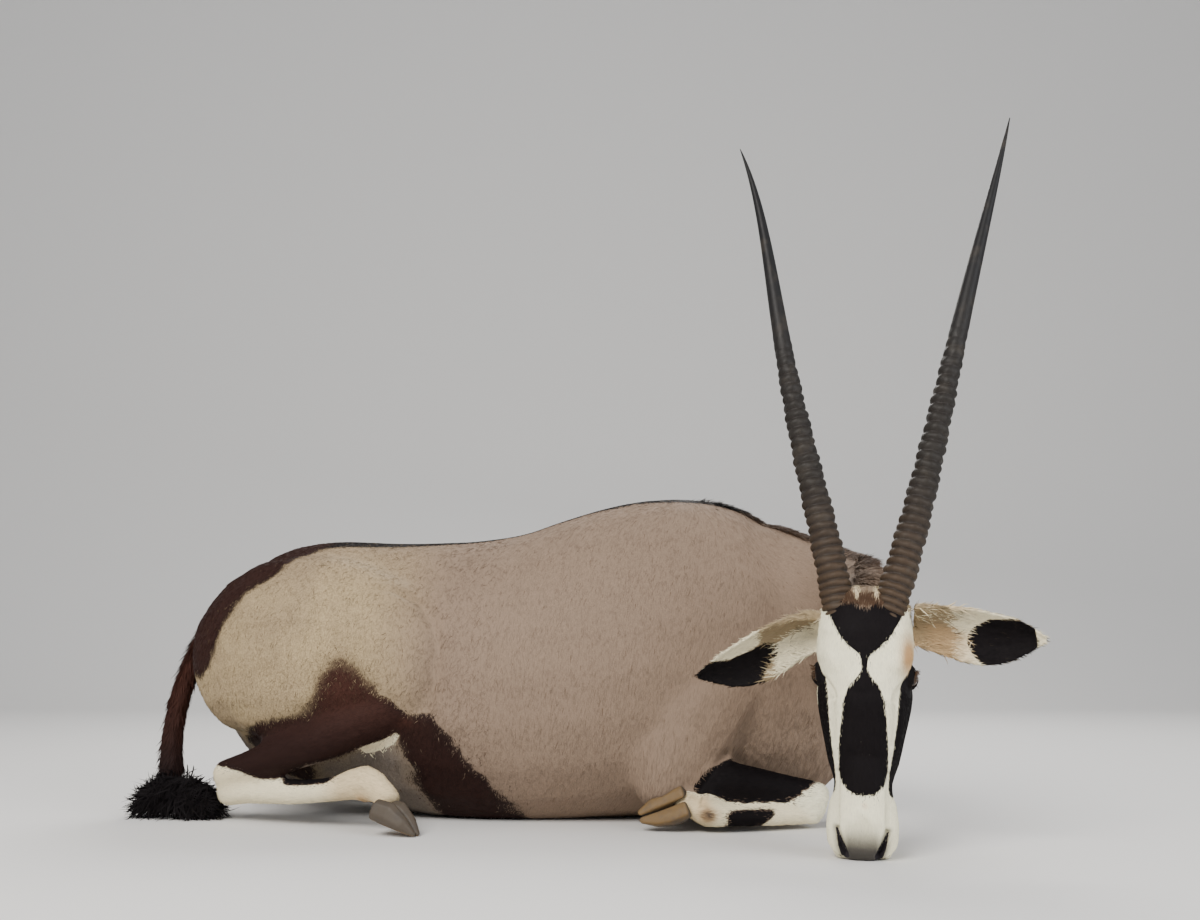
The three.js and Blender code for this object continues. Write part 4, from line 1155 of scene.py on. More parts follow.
@dataclass
class Skin:
    """One closed skin over trunk, neck, head, ears, legs and tail, with folds, lids and nostrils."""

    body_step: float = 5.0 * MM
    neck_step: float = 4.0 * MM
    head_step: float = 2.2 * MM
    body_depth: float = 3.0 * MM
    face_depth: float = 0.7 * MM
    mane_half: float = 8.0 * MM
    body_triangles: int = 108000
    head_triangles: int = 84000
    seam_back: float = 62.0 * MM
    seam_gap: float = 5.0 * MM
    reach: float = 30.0 * MM
    lid_radius: float = 22.0 * MM
    slit_half: tuple = (0.0165, 0.0095)
    thing: Thing = None
    points: Array = None
    faces: Array = None
    normals: Array = None
    region: Array = None
    marks: dict = field(default_factory=dict)
    lie: Array = None

    @property
    def seam(self) -> float:
        """The plane across the neck where the coarse and the fine half meet, along Y."""
        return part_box("head")[1].y + self.seam_back

    def bald_neck(self) -> tuple[Array, Array]:
        """Takes the neck without the thin locks of its mane.

        Returns:
            Its points and quads.
        """
        low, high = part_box("neck")
        grid = Field.around(np.array(low) - MARGIN, np.array(high) + MARGIN, self.neck_step)
        values = grid.measure(*node_mesh("neck"), self.mane_half + 3 * self.neck_step)
        core = grid.surface(values, -self.mane_half)
        return grid.surface(grid.measure(*core, self.mane_half + 4 * self.neck_step), self.mane_half)

    def fused(self, grid: Field, names: tuple, closing: float) -> Array:
        """Measures distances to several nodes and the neck as one body.

        Args:
            grid: where they are measured.
            names: the nodes besides the neck.
            closing: half the widest cut between nodes that is filled.

        Returns:
            The distances on the grid.
        """
        points, quads = self.bald_neck()
        neck = points, np.concatenate([quads[:, [0, 1, 2]], quads[:, [0, 2, 3]]])
        meshes = [neck] + [node_mesh(name) for name in names]
        grown = grid.measure(*joined(meshes), max(closing * 1.5, 3 * grid.step))
        return grid.measure(*grid.surface(grown, closing), self.reach) + closing

    def body_half(self) -> Thing:
        """Builds the skin behind the seam.

        Returns:
            The half, open at the seam.
        """
        names = tuple(n for n in BODY_NODES if n != "neck")
        lows = np.min([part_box(n)[0] for n in BODY_NODES], axis=0)
        highs = np.max([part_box(n)[1] for n in BODY_NODES], axis=0)
        lows[1] = min(np.min([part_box(n)[0] for n in names], axis=0)[1], self.seam) - 0.02
        grid = Field.around(lows - MARGIN, highs + MARGIN, self.body_step)
        values = self.fused(grid, names, 4.0 * MM)
        fine = grid.soften(values, 5.5 * MM)
        broad = grid.soften(values, 15.0 * MM)
        x, y, z = grid.axes()
        shift = AXES.shift
        along = (x - shift[0]) * math.cos(AXES.trunk_yaw) + (y - shift[1]) * math.sin(AXES.trunk_yaw)
        high = np.clip((z - 0.2) / 0.08, 0, 1) * np.clip((along + 0.8) / 0.06, 0, 1)
        between_legs = np.clip((along + 0.4) / 0.08, 0, 1) * np.clip((-0.06 - along) / 0.06, 0, 1)
        plain = np.maximum(high, between_legs * np.clip((z - 0.02) / 0.05, 0, 1))
        values = fine + (broad - fine) * plain.astype(np.float32) + self.body_depth
        return self.finished_half("skin back", *grid.surface(values), False, self.body_triangles)

    def head_half(self) -> Thing:
        """Builds the skin in front of the seam.

        Returns:
            The half, open at the seam.
        """
        lows = np.min([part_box(n)[0] for n in HEAD_NODES], axis=0) - SLIM_MARGIN
        highs = np.max([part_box(n)[1] for n in HEAD_NODES], axis=0) + SLIM_MARGIN
        low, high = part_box("neck")
        lows[0], highs[0] = min(lows[0], low.x - SLIM_MARGIN), max(highs[0], high.x + SLIM_MARGIN)
        highs[1], highs[2] = self.seam + SLIM_MARGIN, high.z + SLIM_MARGIN
        grid = Field.around(lows, highs, self.head_step)
        values = self.fused(grid, HEAD_NODES, 1.5 * MM)
        fine = grid.soften(values, 1.3 * MM)
        broad = grid.soften(values, 5.0 * MM)
        places = np.stack(np.broadcast_arrays(*grid.axes()), -1).reshape(-1, 3)
        places = AXES.to_head(places).reshape(*grid.shape, 3)
        side, out, height = np.abs(places[..., 0]), places[..., 1], places[..., 2]
        plain = ease(side, 0.076, 0.07) * ease(AXES.to_eyes(places), 0.026, 0.036) * ease(height, 0.05, 0.07)
        back = ease(out, -0.15, -0.19)
        share = np.maximum(plain * 0.75, back).astype(np.float32)
        depth = self.face_depth + (self.body_depth - self.face_depth) * back.astype(np.float32)
        ears = side >= 0.08
        thin = ease(fine - values, 0.2 * MM, 0.8 * MM) * ears
        fine = np.where(ears, np.minimum(fine, values) - thin * MM, fine)
        values = fine + (broad - fine) * share + depth * ~ears + 0.3 * MM * ears
        values = self.with_lids(values, np.stack([side, out, height], -1)).astype(np.float32)
        return self.finished_half("skin front", *grid.surface(values), True, self.head_triangles)

    def with_lids(self, values: Array, places: Array) -> Array:
        """Adds the lids, a shell over each eyeball with an almond opening.

        Args:
            values: the head's distances on the grid.
            places: the grid's places in the head's axes, with both sides folded into one.

        Returns:
            The distances with lids.
        """
        away = places - np.array(AXES.eye)
        far = np.linalg.norm(away, axis=-1)
        forward, along, across = (away @ axis for axis in AXES.eye_axes())
        almond = self.slit_half[1] * (1.0 - (along / self.slit_half[0]) ** 2) - np.abs(across)
        near = (far < 0.034) & (forward > 0)
        lids = np.minimum(values, far - self.lid_radius)
        return np.where(near, np.maximum(lids, almond), lids)

    def finished_half(self, name: str, points: Array, quads: Array, front: bool,
                      triangles: int) -> Thing:
        """Cuts a half at the seam, presses its folds in and thins it.

        Args:
            name: the half's name.
            points: its points.
            quads: its faces.
            front: whether it is the half with the head.
            triangles: about how many triangles it keeps.

        Returns:
            The half, open at the seam.
        """
        thing = build_object(name, points, quads)
        keep = 1.0 if front else -1.0
        plane = self.seam - keep * self.seam_gap / 2
        mesh = bmesh.new()
        mesh.from_mesh(thing.data)
        bmesh.ops.bisect_plane(mesh, geom=mesh.verts[:] + mesh.edges[:] + mesh.faces[:], dist=1e-5,
                               plane_co=(0, plane, 0), plane_no=(0, keep, 0), clear_outer=True)
        self.keep_largest(mesh)
        mesh.to_mesh(thing.data)
        mesh.free()
        points, _, normals = mesh_arrays(thing)
        moved = np.zeros(len(points))
        if front:
            head = AXES.to_head(points)
            for crease in HEAD_CREASES:
                moved += crease.press(head) * ease(head[:, 1], -0.1, -0.08)
        body = AXES.to_body(points)
        for crease in (() if front else BODY_CREASES) + NECK_CREASES:
            moved += crease.press(body)
        moved *= np.clip(np.abs(points[:, 1] - plane) / 0.01, 0, 1)
        points = points - normals * moved[:, None]
        points[:, 2] = np.maximum(points[:, 2], OFF_FLOOR)
        move_points(thing.data, points)
        return fewer_faces(thing, triangles)

    @staticmethod
    def keep_largest(mesh: bmesh.types.BMesh) -> None:
        """Removes every loose scrap besides the largest connected surface.

        Args:
            mesh: the mesh, changed in place.
        """
        mesh.verts.ensure_lookup_table()
        seen = np.zeros(len(mesh.verts), bool)
        groups = []
        for vert in mesh.verts:
            if seen[vert.index]:
                continue
            group, queue = [], [vert]
            seen[vert.index] = True
            while queue:
                here = queue.pop()
                group.append(here)
                for edge in here.link_edges:
                    other = edge.other_vert(here)
                    if not seen[other.index]:
                        seen[other.index] = True
                        queue.append(other)
            groups.append(group)
        groups.sort(key=len)
        for group in groups[:-1]:
            bmesh.ops.delete(mesh, geom=group, context="VERTS")

    def build(self) -> Thing:
        """Joins both halves into the skin and marks it.

        Returns:
            The skin.
        """
        back, front = self.body_half(), self.head_half()
        mesh = bmesh.new()
        mesh.from_mesh(back.data)
        mesh.from_mesh(front.data)
        rims = [edge for edge in mesh.edges if edge.is_boundary]
        bmesh.ops.bridge_loops(mesh, edges=rims)
        bmesh.ops.triangulate(mesh, faces=[face for face in mesh.faces if len(face.verts) > 3])
        data = bpy.data.meshes.new("skin")
        mesh.to_mesh(data)
        mesh.free()
        for half in (back, front):
            bpy.data.objects.remove(half)
        data.polygons.foreach_set("use_smooth", np.full(len(data.polygons), True))
        self.thing = placed("skin", data)
        self.points, self.faces, self.normals = mesh_arrays(self.thing)
        self.find_regions()
        self.mark()
        self.thing.data.materials.append(CoatFinish("skin_coat").build())
        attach(self.thing, BODY)
        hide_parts(*BODY_NODES, *HEAD_NODES)
        return self.thing

    def find_regions(self) -> None:
        """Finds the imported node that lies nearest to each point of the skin."""
        meshes = [node_mesh(name) for name in REGION_OF_NODE]
        numbers = [region.value for region in REGION_OF_NODE.values()]
        owner = np.repeat(numbers, [len(faces) for _, faces in meshes])
        points, faces = joined(meshes)
        tree = BVHTree.FromPolygons(points.tolist(), faces.tolist())
        found = [tree.find_nearest(Vector(p))[2] for p in self.points.tolist()]
        self.region = owner[np.array(found)]

    def smoothed(self, values: Array, rounds: int) -> Array:
        """Evens values out between neighbouring points.

        Args:
            values: one for each point of the skin.
            rounds: how many times over.

        Returns:
            The evened values.
        """
        mesh = self.thing.data
        edges = np.empty(len(mesh.edges) * 2, np.int32)
        mesh.edges.foreach_get("vertices", edges)
        a, b = edges.reshape(-1, 2).T
        count = np.bincount(a, minlength=len(values)) + np.bincount(b, minlength=len(values))
        for _ in range(rounds):
            total = np.bincount(a, values[b], len(values)) + np.bincount(b, values[a], len(values))
            values = 0.5 * values + 0.5 * total / np.maximum(count, 1)
        return values

    def mark(self) -> None:
        """Works out the markings and the lie of the coat and stores them on the skin."""
        pattern = Markings()
        body = AXES.to_body(self.points)
        body_normals = self.normals @ turn_z(AXES.trunk_yaw)
        head = AXES.to_head(self.points)
        head_normals = body_normals @ np.linalg.inv(AXES.head_turn).T
        ear = in_regions(self.region, Region.EAR)
        on_head = in_regions(self.region, Region.HEAD, Region.EAR)
        behind = pattern.trunk(body, body_normals, self.region)
        ahead = pattern.head(head, head_normals, ear)
        for name in MARKS:
            values = np.where(on_head, ahead[name], behind[name]).astype(float)
            self.marks[name] = np.where(on_head, self.smoothed(values, 1), self.smoothed(values, 4))
            set_numbers(self.thing.data, name, self.marks[name])
        set_numbers(self.thing.data, "tone", np.full(len(self.points), 0.5))
        self.lie = coat_lie(self.points, self.normals, self.region)
        self.marks["flow"] = np.abs(self.lie[:, 2]) ** 1.5
        set_numbers(self.thing.data, "flow", self.marks["flow"])


# Lie of the coat


@dataclass(frozen=True)
class Strand:
    """A line that the hair near it follows, in the animal's axes or the head's."""

    start: tuple
    end: tuple
    regions: tuple
    head: bool = False
    both: bool = True


FLANK_STATIONS = (-0.58, -0.47, -0.36, -0.25, -0.14, -0.04)
STRANDS = (
    *(Strand((x, -0.16, 0.5), (x - 0.07, -0.25, 0.1), (Region.TRUNK, Region.THIGH)) for x in FLANK_STATIONS),
    Strand((-0.1, 0.0, 0.62), (-0.75, 0.0, 0.56), (Region.TRUNK,), both=False),
    Strand((0.06, -0.15, 0.44), (-0.02, -0.22, 0.12), (Region.UPPER_ARM, Region.TRUNK)),
    Strand((0.12, -0.15, 0.3), (0.05, -0.2, 0.1), (Region.UPPER_ARM, Region.TRUNK)),
    Strand((-0.66, -0.2, 0.46), (-0.7, -0.27, 0.2), (Region.THIGH,)),
    Strand((-0.78, -0.16, 0.44), (-0.83, -0.18, 0.18), (Region.THIGH, Region.TRUNK)),
    Strand((-0.52, -0.22, 0.19), (-0.82, -0.2, 0.1), (Region.SHANK,)),
    Strand((-0.8, -0.19, 0.06), (-0.52, -0.2, 0.05), (Region.HIND_CANNON,)),
    Strand((0.02, -0.2, 0.09), (0.22, -0.19, 0.07), (Region.FOREARM,)),
    Strand((0.22, -0.19, 0.04), (-0.02, -0.24, 0.04), (Region.FORE_CANNON,)),
    Strand((0.06, 0.0, 0.6), (0.3, -0.24, 0.5), (Region.NECK, Region.TRUNK), both=False),
    Strand((0.09, -0.1, 0.5), (0.22, -0.2, 0.4), (Region.NECK,), both=False),
    Strand((0.12, -0.15, 0.36), (0.15, -0.18, 0.14), (Region.NECK,), both=False),
    Strand((0.24, -0.26, 0.34), (0.22, -0.24, 0.16), (Region.NECK,), both=False),
    Strand((0.2, 0.06, 0.45), (0.16, 0.1, 0.15), (Region.NECK, Region.TRUNK), both=False),
    Strand((-0.94, 0.0, 0.4), (-0.95, -0.12, 0.04), (Region.TAIL,), both=False),
    Strand((0.0, 0.0, 0.36), (0.0, 0.0, 0.08), (Region.HEAD,), head=True),
    Strand((0.05, -0.04, 0.3), (0.07, -0.12, 0.14), (Region.HEAD,), head=True),
    Strand((0.03, -0.03, 0.06), (0.045, -0.06, 0.0), (Region.HEAD,), head=True),
    Strand((0.0, -0.1, 0.38), (0.0, -0.02, 0.39), (Region.HEAD,), head=True),
    Strand((0.06, -0.16, 0.2), (0.09, -0.24, 0.26), (Region.HEAD, Region.NECK), head=True),
    Strand((0.08, -0.09, 0.348), (0.27, -0.09, 0.334), (Region.EAR,), head=True),
)


def coat_lie(points: Array, normals: Array, region: Array) -> Array:
    """Finds which way the hair lies at each point of the skin.

    Args:
        points: the points, in the part's frame.
        normals: their normals.
        region: the region of each, as its number.

    Returns:
        Directions of length one along the skin.
    """
    total = np.zeros_like(points)
    for strand in STRANDS:
        for sign in (1, -1) if strand.both else (1,):
            flip = [sign, 1, 1] if strand.head else [1, sign, 1]
            ends = np.array([strand.start, strand.end]) * flip
            a, b = AXES.from_head(ends) if strand.head else AXES.from_body(ends)
            run = b - a
            share = np.clip(((points - a) @ run) / (run @ run), 0, 1)
            near = ((points - a - share[:, None] * run) ** 2).sum(1)
            weight = 1.0 / (near + 0.02**2) ** 1.5
            weight *= np.where(in_regions(region, *strand.regions), 1.0, 0.02)
            total += weight[:, None] * unit(run[None])[0]
    total -= (total * normals).sum(1, keepdims=True) * normals
    return unit(total).astype(np.float32)


# Coat


@dataclass(frozen=True)
class TuftShape:
    """One kind of tuft: its sizes in millimetres, its angles in radians, and how much chance varies it."""

    length: float
    width: float
    thickness: float
    lift: float
    stray: float = 0.25
    curl: float = 0.0
    rings: int = 0
    rounding: float = 0.45


def tuft_atlas(points: Array, normals: Array) -> Array:
    """Unwraps places on the skin by the six sides that they face.

    Args:
        points: places on the skin.
        normals: the skin's normals there.

    Returns:
        One place on the unwrap for each point, both numbers from 0 to 1.
    """
    low, high = points.min(0) - 0.01, points.max(0) + 0.01
    share = (points - low) / (high - low)
    axis = np.abs(normals).argmax(1)
    facing = normals[np.arange(len(points)), axis] > 0
    across = np.where(axis == 0, share[:, 1], share[:, 0])
    upward = np.where(axis == 2, share[:, 1], share[:, 2])
    return np.stack([(axis + 0.02 + 0.96 * across) / 3, (facing + 0.02 + 0.96 * upward) / 2], 1)


def tuft_faces(rings: int) -> Array:
    """Numbers the corners of a tuft's triangles: three for each ring and for the base, then the tip.

    Args:
        rings: how many rings the tuft has besides its base.

    Returns:
        The triangles.
    """
    if not rings:
        return np.array([[0, 1, 3], [0, 3, 2], [1, 2, 3], [0, 2, 1]])
    sides = ((0, 1), (1, 2), (2, 0))
    faces = [[0, 2, 1]]
    for a in range(0, 3 * rings, 3):
        for i, j in sides:
            faces += [[a + i, a + j, a + j + 3], [a + i, a + j + 3, a + i + 3]]
    last = 3 * rings
    return np.array(faces + [[last + i, last + j, last + 3] for i, j in sides])


class Tufts:
    """Closed tufts of hair gathered into one coat piece."""

    patch = 0.003

    def __init__(self, name: str, seed: int) -> None:
        """Starts an empty piece with its own repeatable chance.

        Args:
            name: the piece's name.
            seed: the seed of its chance.
        """
        self.name = name
        self.chance = np.random.default_rng(seed)
        self.points: list[Array] = []
        self.faces: list[Array] = []
        self.uvs: list[Array] = []
        self.numbers: dict[str, list] = {key: [] for key in STORED + ("tone",)}
        self.lights: list[Array] = []
        self.count = 0

    def add(self, roots: Array, normals: Array, lie: Array, marks: dict, shape: TuftShape,
            scale: Array = None, drop: float = 0.0) -> None:
        """Adds a tuft at each root.

        Args:
            roots: where the tufts grow from the skin.
            normals: the skin's normals there.
            lie: which way the tufts lie along the skin.
            marks: the markings at the roots.
            shape: the sizes of the tufts.
            scale: each tuft's own size, or none for all alike.
            drop: how far the tips sink by their own weight.
        """
        count = len(roots)
        if not count:
            return
        draw = self.chance
        scale = np.ones(count) if scale is None else scale
        scale = (scale * draw.uniform(0.75, 1.25, count))[:, None]
        across = unit(np.cross(normals, lie))
        turn = draw.normal(0, shape.stray, count)[:, None]
        along = unit(lie * np.cos(turn) + across * np.sin(turn))
        across = unit(np.cross(normals, along))
        lift = (shape.lift * draw.uniform(0.5, 1.5, count))[:, None]
        long, wide = shape.length * MM * scale, shape.width * MM * scale ** 0.5
        thick = shape.thickness * MM
        swirl = (shape.curl * draw.normal(0, 1, count))[:, None]
        left, right = unit(normals - across * shape.rounding), unit(normals + across * shape.rounding)

        def middle(share: float) -> Array:
            """The middle of the tuft at a share of its length."""
            rise = np.sin(lift) * (share - 0.35 * share * share)
            place = roots + along * long * share + normals * long * rise
            place += across * long * swirl * share * share
            place[:, 2] -= drop * (share * long[:, 0]) ** 2 * 60.0
            return place

        if shape.rings:
            parts = []
            for k in range(shape.rings + 1):
                share = (k + 0.3) / (shape.rings + 1)
                full = 1.0 - 0.55 * share
                here = middle(share if k else 0.0)
                sink = normals * thick * (0.0 if k else 1.2)
                parts += [here - across * wide * 0.5 * full - sink,
                          here + across * wide * 0.5 * full - sink,
                          here + normals * thick * full - sink * 0.3]
        else:
            base = roots - normals * thick * 0.7
            parts = [base - across * wide * 0.5, base + across * wide * 0.5, middle(0.38) + normals * thick]
        lights = [left, right, normals] * (len(parts) // 3) + [unit(normals + along * shape.rounding * 0.3)]
        self.lights.append(np.stack(lights, 1).reshape(-1, 3))
        block = np.stack(parts + [middle(1.0)], 1)
        block[:, :, 2] = np.maximum(block[:, :, 2], 0.4 * MM)
        corners = block.shape[1]
        firsts = self.count + corners * np.arange(count)[:, None, None]
        self.faces.append((firsts + tuft_faces(shape.rings)).reshape(-1, 3))
        self.points.append(block.reshape(-1, 3))
        centre = tuft_atlas(roots, normals)
        spread = np.stack([np.linspace(-0.5, 0.5, corners), np.where(np.arange(corners) % 2, 0.5, -0.5)], 1)
        self.uvs.append((centre[:, None, :] + spread[None] * self.patch).reshape(-1, 2))
        tone = np.clip(0.5 + draw.normal(0, 0.22, count), 0, 1)
        for key in STORED:
            self.numbers[key].append(np.repeat(marks[key], corners))
        self.numbers["tone"].append(np.repeat(tone, corners))
        self.count += count * corners

    def build(self, finish: Material, slot: str) -> Thing:
        """Makes the coat piece.

        Args:
            finish: its material.
            slot: not used.

        Returns:
            The piece.
        """
        points, faces = np.concatenate(self.points), np.concatenate(self.faces)
        thing = build_object(self.name, points, faces)
        mesh = thing.data
        layer = mesh.uv_layers.new(name="OFBake")
        corner = np.empty(len(mesh.loops), np.int32)
        mesh.loops.foreach_get("vertex_index", corner)
        layer.data.foreach_set("uv", np.concatenate(self.uvs)[corner].astype(np.float32).ravel())
        for key, values in self.numbers.items():
            set_numbers(mesh, key, np.concatenate(values))
        mesh.normals_split_custom_set_from_vertices(np.concatenate(self.lights).tolist())
        mesh.materials.append(finish)
        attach(thing, BODY)
        log.info("%s: %d triangles", self.name, len(faces))
        return thing


@dataclass
class Coat:
    """Tufts over the whole skin: short on the trunk, shorter on face and feet, long where the hair is."""

    skin: Skin
    trunk_tufts: int = 49000
    limb_tufts: int = 46000
    head_tufts: int = 40000
    ear_tufts: int = 9000
    fringe_tufts: int = 2600
    fluff_tufts: int = 1300
    lash_count: int = 34
    mane_tufts: int = 5200
    tail_tufts: int = 8500
    mane_extra: float = 0.35
    short: TuftShape = TuftShape(14, 1.7, 0.28, 0.05, 0.1)
    rough: TuftShape = TuftShape(10, 1.6, 0.4, 0.1, 0.4, 0.25)
    limb: TuftShape = TuftShape(9, 1.4, 0.28, 0.08, 0.16)
    face: TuftShape = TuftShape(5.5, 0.9, 0.18, 0.06, 0.15)
    lash: TuftShape = TuftShape(9, 0.9, 0.22, 0.1, 0.25, 0.15, 1)
    ear: TuftShape = TuftShape(8, 1.3, 0.3, 0.16, 0.3)
    fringe: TuftShape = TuftShape(5.5, 1.0, 0.3, 0.22, 0.25, 0.15, 1)
    fluff: TuftShape = TuftShape(17, 1.5, 0.35, 0.26, 0.4, 0.3, 1)
    crest: TuftShape = TuftShape(24, 1.8, 0.5, 0.34, 0.22, 0.08, 1)
    coarse: TuftShape = TuftShape(38, 2.6, 0.6, 0.13, 0.14, 0.08, 1)
    finish: Material = None

    def seeds(self, count: int, weight: Array, seed: int) -> tuple:
        """Draws roots on the skin.

        Args:
            count: how many.
            weight: how thickly they stand at each point of the skin.
            seed: the seed of the draw.

        Returns:
            Roots, normals, lie, marks, and the number of a skin point near each root.
        """
        skin = self.skin
        draw = np.random.default_rng(seed)
        place = scatter(skin.points, skin.faces, weight[skin.faces].mean(1), count, draw)
        roots, normals, lie = (blend(values, *place) for values in (skin.points, skin.normals, skin.lie))
        marks = {key: blend(skin.marks[key], *place) for key in STORED}
        return roots, unit(normals), unit(lie), marks, place[0][:, 0]

    def patch(self, name: str, weight: Array, count: int, shape: TuftShape, slot: str, seed: int,
              scale: Array = None) -> Thing:
        """Builds one piece of short coat.

        Args:
            name: the piece's name.
            weight: how thickly it stands at each point of the skin.
            count: how many tufts it has.
            shape: their sizes.
            slot: handed on to the piece's build.
            seed: the seed of its chance.
            scale: the size of the tufts at each point of the skin.

        Returns:
            The piece.
        """
        roots, normals, lie, marks, near = self.seeds(count, weight, seed)
        tufts = Tufts(name, seed)
        tufts.add(roots, normals, lie, marks, shape, None if scale is None else scale[near])
        return tufts.build(self.finish, slot)

    def build(self) -> list[Thing]:
        """Builds every piece of the coat.

        Returns:
            The pieces.
        """
        self.finish = CoatFinish("coat_hair", strength=0.25).build()
        skin = self.skin
        body = AXES.to_body(skin.points)
        head = AXES.to_head(skin.points)
        up = skin.normals[:, 2]
        on = functools.partial(in_regions, skin.region)
        off_floor = (skin.points[:, 2] > 0.004).astype(float)
        trunk = on(Region.TRUNK, Region.UPPER_ARM, Region.THIGH) * off_floor
        front = ease(body[:, 0], -0.36, -0.34)
        edge = 4.0 * skin.marks["dark"] * (1.0 - skin.marks["dark"])
        finer, thicker = 1.0 - 0.5 * edge, 1.0 + 2.5 * edge
        rump_weight, flank_weight = trunk * (1 - front) * thicker, trunk * front * thicker
        neck_tufts = int(self.trunk_tufts * 0.55)
        legs = on(Region.FOREARM, Region.FORE_CANNON, Region.SHANK, Region.HIND_CANNON) * off_floor * thicker
        made = [
            self.patch("coat_rump", rump_weight, self.trunk_tufts, self.rough, "coat_fawn", 101, finer),
            self.patch("coat_flank", flank_weight, self.trunk_tufts, self.short, "coat_fawn", 102, finer),
            self.patch("coat_neck", on(Region.NECK), neck_tufts, self.short, "coat_fawn", 103),
            self.patch("coat_legs", legs, self.limb_tufts, self.limb, "coat_white", 104, finer),
        ]
        bare = ease(head[:, 2], 0.012, 0.035) * ease(AXES.to_eyes(head), 0.027, 0.032)
        size = 0.6 + 0.5 * ease(head[:, 2], 0.02, 0.2) + 0.7 * ease(head[:, 1], -0.12, -0.18)
        size += 0.9 * ease(head[:, 2], 0.366, 0.385)
        face = on(Region.HEAD) * (0.15 + bare) * off_floor
        made.append(self.patch("coat_face", face, self.head_tufts, self.face, "coat_face", 105, size))
        made += [self.lashes(), self.ears(head), self.mane(body, up), self.tail()]
        return made

    def lashes(self) -> Thing:
        """Builds the lashes, which stand out from the upper lid of each eye.

        Returns:
            The piece.
        """
        tufts = Tufts("lashes", 113)
        out, slit, across = AXES.eye_axes()
        share = np.linspace(-0.75, 0.85, self.lash_count)
        long, wide = self.skin.slit_half
        roots = out + (share * long)[:, None] / self.skin.lid_radius * slit
        roots = roots - ((wide + 0.0012) * (1.0 - share**2))[:, None] / self.skin.lid_radius * across
        roots = np.array(AXES.eye) + unit(roots) * (self.skin.lid_radius - 0.0006)
        marks = {key: np.zeros(len(share)) for key in STORED}
        marks["brown"] = np.ones(len(share))
        for side in Side:
            turned = np.array([side.value, 1.0, 1.0])
            normal = AXES.directions(-across * turned, head=True)
            lie = AXES.directions((out - 0.35 * across - 0.2 * slit) * turned, head=True)
            normals, lies = (unit(np.tile(way, (len(share), 1))) for way in (normal, lie))
            tufts.add(AXES.from_head(roots * turned), normals, lies, marks, self.lash)
        return tufts.build(self.finish, "coat_face")

    def ears(self, head: Array) -> Thing:
        """Builds the hair of the ears: short on the backs, a fringe on the rims, long at the inner roots.

        Args:
            head: the skin's points in the head's axes.

        Returns:
            The piece.
        """
        skin = self.skin
        ear = in_regions(skin.region, Region.EAR)
        run = (np.abs(head[:, 0]) - EAR_ROOT) / EAR_LENGTH
        facing = (skin.normals @ turn_z(AXES.trunk_yaw)) @ np.linalg.inv(AXES.head_turn).T
        rim = ear * np.abs(facing[:, 2]) ** 3 * ease(run, 0.1, 0.3)
        inner = ear * ease(facing[:, 1], 0.0, 0.3) * ease(run, 0.5, 0.3)
        tufts = Tufts("coat_ears", 106)
        tufts.add(*self.seeds(self.ear_tufts, ear, 107)[:4], self.ear)
        tufts.add(*self.seeds(self.fringe_tufts, rim, 108)[:4], self.fringe)
        tufts.add(*self.seeds(self.fluff_tufts, inner, 109)[:4], self.fluff)
        return tufts.build(self.finish, "coat_ear")

    def mane(self, body: Array, up: Array) -> Thing:
        """Builds the mane: short dark hair on the crest that lies towards the head.

        Args:
            body: the skin's points in the animal's own axes.
            up: how far each point's normal points up.

        Returns:
            The piece.
        """
        skin = self.skin
        near = distance_to_line(body, Markings().crest)
        crest = in_regions(skin.region, Region.NECK, Region.TRUNK) * ease(near, 0.02, 0.006)
        crest = crest * ease(body[:, 0], 0.0, 0.1) * ease(up, 0.3, 0.6)
        roots, normals, lie, marks, _ = self.seeds(self.mane_tufts, crest, 110)
        marks["brown"] = np.clip(marks["brown"] + self.mane_extra, 0, 1)
        tufts = Tufts("mane", 110)
        tufts.add(roots, normals, lie, marks, self.crest)
        return tufts.build(self.finish, "coat_fawn")

    def tail(self) -> Thing:
        """Builds the long coarse hair down the tail.

        Returns:
            The piece.
        """
        tail = in_regions(self.skin.region, Region.TAIL)
        tufts = Tufts("coat_tail", 111)
        tufts.add(*self.seeds(self.tail_tufts, tail, 112)[:4], self.coarse)
        return tufts.build(self.finish, "tail_hair")


